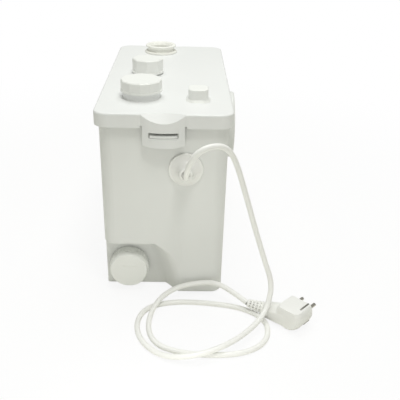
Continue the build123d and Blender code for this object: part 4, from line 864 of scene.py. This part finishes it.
class PUMP_OT_shell(bpy.types.Operator):
    """Give the tank, lid, latches, caps and collar their moulded finish"""

    bl_idname = "pump.shell"
    bl_label = "Shell finishes"

    def execute(self, context):
        colours = context.scene.pump_colours
        paint(moulded("tank plastic", colours.tank, 0.34, 0.10), "tank")
        paint(moulded("lid plastic", colours.lid, 0.42, 0.06), "lid", "near_latch", "far_latch")
        paint(
            moulded("cap plastic", colours.caps, 0.36, 0.12),
            "front_cap",
            "rear_cap",
            "near_cap",
            "far_cap",
            "vent_cap",
        )
        disc = moulded("disc plastic", (0.62, 0.63, 0.63), 0.4)
        paint(disc, "front_disc", "rear_disc", "near_disc", "far_disc")
        paint(moulded("gland plastic", colours.lead, 0.3, 0.08), "gland_nut")
        paint(moulded("collar plastic", colours.tank, 0.36, 0.1), "inlet_collar")
        paint(
            rubbery("black rubber", (0.03, 0.03, 0.033)),
            "rubber_feet",
            "lid_gasket",
            "collar_seal",
            "shaft_seal",
            "riser_pipe",
            "diaphragm",
            "check_flap",
        )
        paint(foam_finish(), "vent_filter")
        return {"FINISHED"}


class PUMP_OT_works(bpy.types.Operator):
    """Give the pump, motor, switch and basket their finishes"""

    bl_idname = "pump.works"
    bl_label = "Inner works"

    def execute(self, context):
        pump = moulded("pump plastic", (0.36, 0.37, 0.38), 0.45, 0.25)
        paint(pump, "suction_plate", "volute", "valve_body")
        paint(moulded("basket plastic", (0.62, 0.63, 0.62), 0.45, 0.2), "basket", "inlet_chute")
        cast = cast_metal("cast aluminium", (0.62, 0.63, 0.65))
        paint(cast, "motor_bracket", "motor_cover", "motor_housing")
        paint(
            turned_steel("bright steel", (0.64, 0.64, 0.65)),
            "shaft",
            "rotor_core",
            "blade",
            "shaft_nut",
            "motor_bolts",
            "lower_bearing",
            "upper_bearing",
            "riser_clamps",
        )
        paint(stator_finish(), "stator")
        paint(moulded("impeller plastic", (0.05, 0.05, 0.055), 0.4, 0.2), "impeller")
        paint(moulded("capacitor case", (0.70, 0.70, 0.68), 0.4), "capacitor")
        paint(moulded("terminal plastic", (0.66, 0.65, 0.60), 0.42), "terminal_block", "microswitch")
        switch = moulded("switch plastic", (0.14, 0.145, 0.16), 0.42, 0.2)
        paint(switch, "switch_base", "switch_cover", "air_bell")
        paint(lead_finish("inner sheath", context.scene.pump_colours.lead), "inner_lead")
        return {"FINISHED"}


# Lamps: name, place, aim, width in metres, power in watts and colour
LAMPS = (
    ("front key", (0.2, -0.7, 1.6), (0.0, 0.0, 0.15), 0.4, 6.6, (1.0, 1.0, 0.96)),
    ("overhead softbox", (0.0, 0.2, 1.6), (0.0, 0.1, 0.2), 1.0, 10.0, (0.98, 1.0, 1.0)),
    ("floor card", (0.0, -0.46, 0.03), (0.0, -0.18, 0.02), 0.24, 0.15, (1.0, 1.0, 0.99)),
)

# The camera stands before the near end and looks down at it, in metres and degrees
CAMERA_PLACE = (0.01925, -0.8907, 0.5054)
CAMERA_PITCH, CAMERA_YAW, CAMERA_ROLL = 26.67, 1.77, 1.65

# How bright the floor is seen to be: its share of plain white near the pump,
# and what is added to that between two distances from the pump, in metres
FLOOR_WHITE = 0.86
FLOOR_FADE = 0.14
FLOOR_NEAR, FLOOR_FAR = 0.2, 1.0

# The room's light on the pump, and its colour
ROOM_LIGHT = 0.42
ROOM_COLOUR = (1.0, 1.0, 0.93, 1.0)


class PUMP_OT_stage(bpy.types.Operator):
    """Set the floor, the soft light and the camera"""

    bl_idname = "pump.stage"
    bl_label = "Stage"

    def execute(self, context):
        start_clean()
        scene = context.scene
        bpy.ops.mesh.primitive_plane_add(size=40.0, location=(0.0, 0.0, 0.0))
        floor = context.object
        floor.name = "studio_floor"
        ground = Finish("studio floor")
        lit = ground.add("ShaderNodeEmission", None, {"Color": (1.0, 1.0, 1.0), "Strength": 1.0})
        path = ground.tree.nodes.new("ShaderNodeLightPath")
        seen = Value(ground, path.outputs["Is Camera Ray"])
        ground.set(Base_Color=ground.blend(seen, (0.9, 0.9, 0.84), (0.95, 0.95, 0.95)), Roughness=0.9)
        away = ground.add("ShaderNodeVectorMath", {"operation": "LENGTH"}, {0: ground.place}, output=1)
        white = away.between(FLOOR_NEAR, FLOOR_FAR) * FLOOR_FADE + FLOOR_WHITE
        mix = ground.add("ShaderNodeMixShader", None, {0: seen * white})
        ground.tree.links.new(ground.shader.outputs[0], mix.socket.node.inputs[1])
        ground.tree.links.new(lit.socket, mix.socket.node.inputs[2])
        ground.tree.links.new(mix.socket, ground.tree.nodes["Material Output"].inputs["Surface"])
        floor.data.materials.append(ground.material)

        world = bpy.data.worlds.new("studio")
        scene.world = world
        world.use_nodes = True
        nodes, links = world.node_tree.nodes, world.node_tree.links
        rays = nodes.new("ShaderNodeLightPath")
        for kind, socket, plain, seen_white in (
            ("FLOAT", "Strength", ROOM_LIGHT, 1.0),
            ("RGBA", "Color", ROOM_COLOUR, (1.0, 1.0, 1.0, 1.0)),
        ):
            choice = nodes.new("ShaderNodeMix")
            choice.data_type = kind
            slots = [n for n, item in enumerate(choice.inputs) if item.enabled]
            links.new(rays.outputs["Is Camera Ray"], choice.inputs[slots[0]])
            choice.inputs[slots[1]].default_value = plain
            choice.inputs[slots[2]].default_value = seen_white
            result = next(item for item in choice.outputs if item.enabled)
            links.new(result, nodes["Background"].inputs[socket])

        def lamp(name, place, target, size, watts, colour):
            data = bpy.data.lights.new(name, "AREA")
            data.shape = "DISK"
            data.size = size
            data.energy = watts
            data.color = colour
            light = bpy.data.objects.new(name, data)
            scene.collection.objects.link(light)
            aim = Vector(target) - Vector(place)
            turned = aim.to_track_quat("-Z", "Y").to_matrix().to_4x4()
            light.matrix_world = Matrix.Translation(place) @ turned

        for item in LAMPS:
            lamp(*item)

        data = bpy.data.cameras.new("camera")
        data.sensor_width = 36.0
        data.lens = scene.pump_sizes.lens
        camera = bpy.data.objects.new("camera", data)
        scene.collection.objects.link(camera)
        pitch, yaw, roll = (math.radians(a) for a in (CAMERA_PITCH, CAMERA_YAW, CAMERA_ROLL))
        forward = Vector((math.sin(yaw) * math.cos(pitch), math.cos(yaw) * math.cos(pitch), -math.sin(pitch)))
        level = Vector((math.cos(yaw), -math.sin(yaw), 0.0))
        up = level.cross(forward)
        right = math.cos(roll) * level + math.sin(roll) * up
        top = math.cos(roll) * up - math.sin(roll) * level
        facing = Matrix((right, top, -forward)).transposed().to_4x4()
        camera.matrix_world = Matrix.Translation(CAMERA_PLACE) @ facing
        scene.camera = camera
        scene.view_settings.view_transform = "Standard"
        return {"FINISHED"}


class PUMP_PT_panel(bpy.types.Panel):
    """Sidebar panel with the pump's pieces"""

    bl_label = "Macerator pump"
    bl_idname = "PUMP_PT_panel"
    bl_space_type = "VIEW_3D"
    bl_region_type = "UI"
    bl_category = "Macerator pump"

    def draw(self, context):
        layout = self.layout
        for group in (context.scene.pump_colours, context.scene.pump_sizes):
            for name in group.bl_rna.properties.keys():
                if name not in ("rna_type", "name"):
                    layout.prop(group, name)
        for step in STEPS:
            layout.operator(step.bl_idname)


STEPS = (
    PUMP_OT_stage,
    PUMP_OT_gland,
    PUMP_OT_boot,
    PUMP_OT_plug_head,
    PUMP_OT_lead,
    PUMP_OT_shell,
    PUMP_OT_sleeve,
    PUMP_OT_latch_trim,
    PUMP_OT_blends,
    PUMP_OT_cap_fronts,
    PUMP_OT_collar_screws,
    PUMP_OT_works,
)
CLASSES = (PumpColours, PumpSizes, *STEPS, PUMP_PT_panel)


def register():
    for item in CLASSES:
        bpy.utils.register_class(item)
    bpy.types.Scene.pump_colours = bpy.props.PointerProperty(type=PumpColours)
    bpy.types.Scene.pump_sizes = bpy.props.PointerProperty(type=PumpSizes)


def unregister():
    del bpy.types.Scene.pump_sizes
    del bpy.types.Scene.pump_colours
    for item in reversed(CLASSES):
        bpy.utils.unregister_class(item)


def main():
    register()
    for step in STEPS:
        group, name = step.bl_idname.split(".")
        getattr(getattr(bpy.ops, group), name)()


if __name__ == "__main__":
    main()
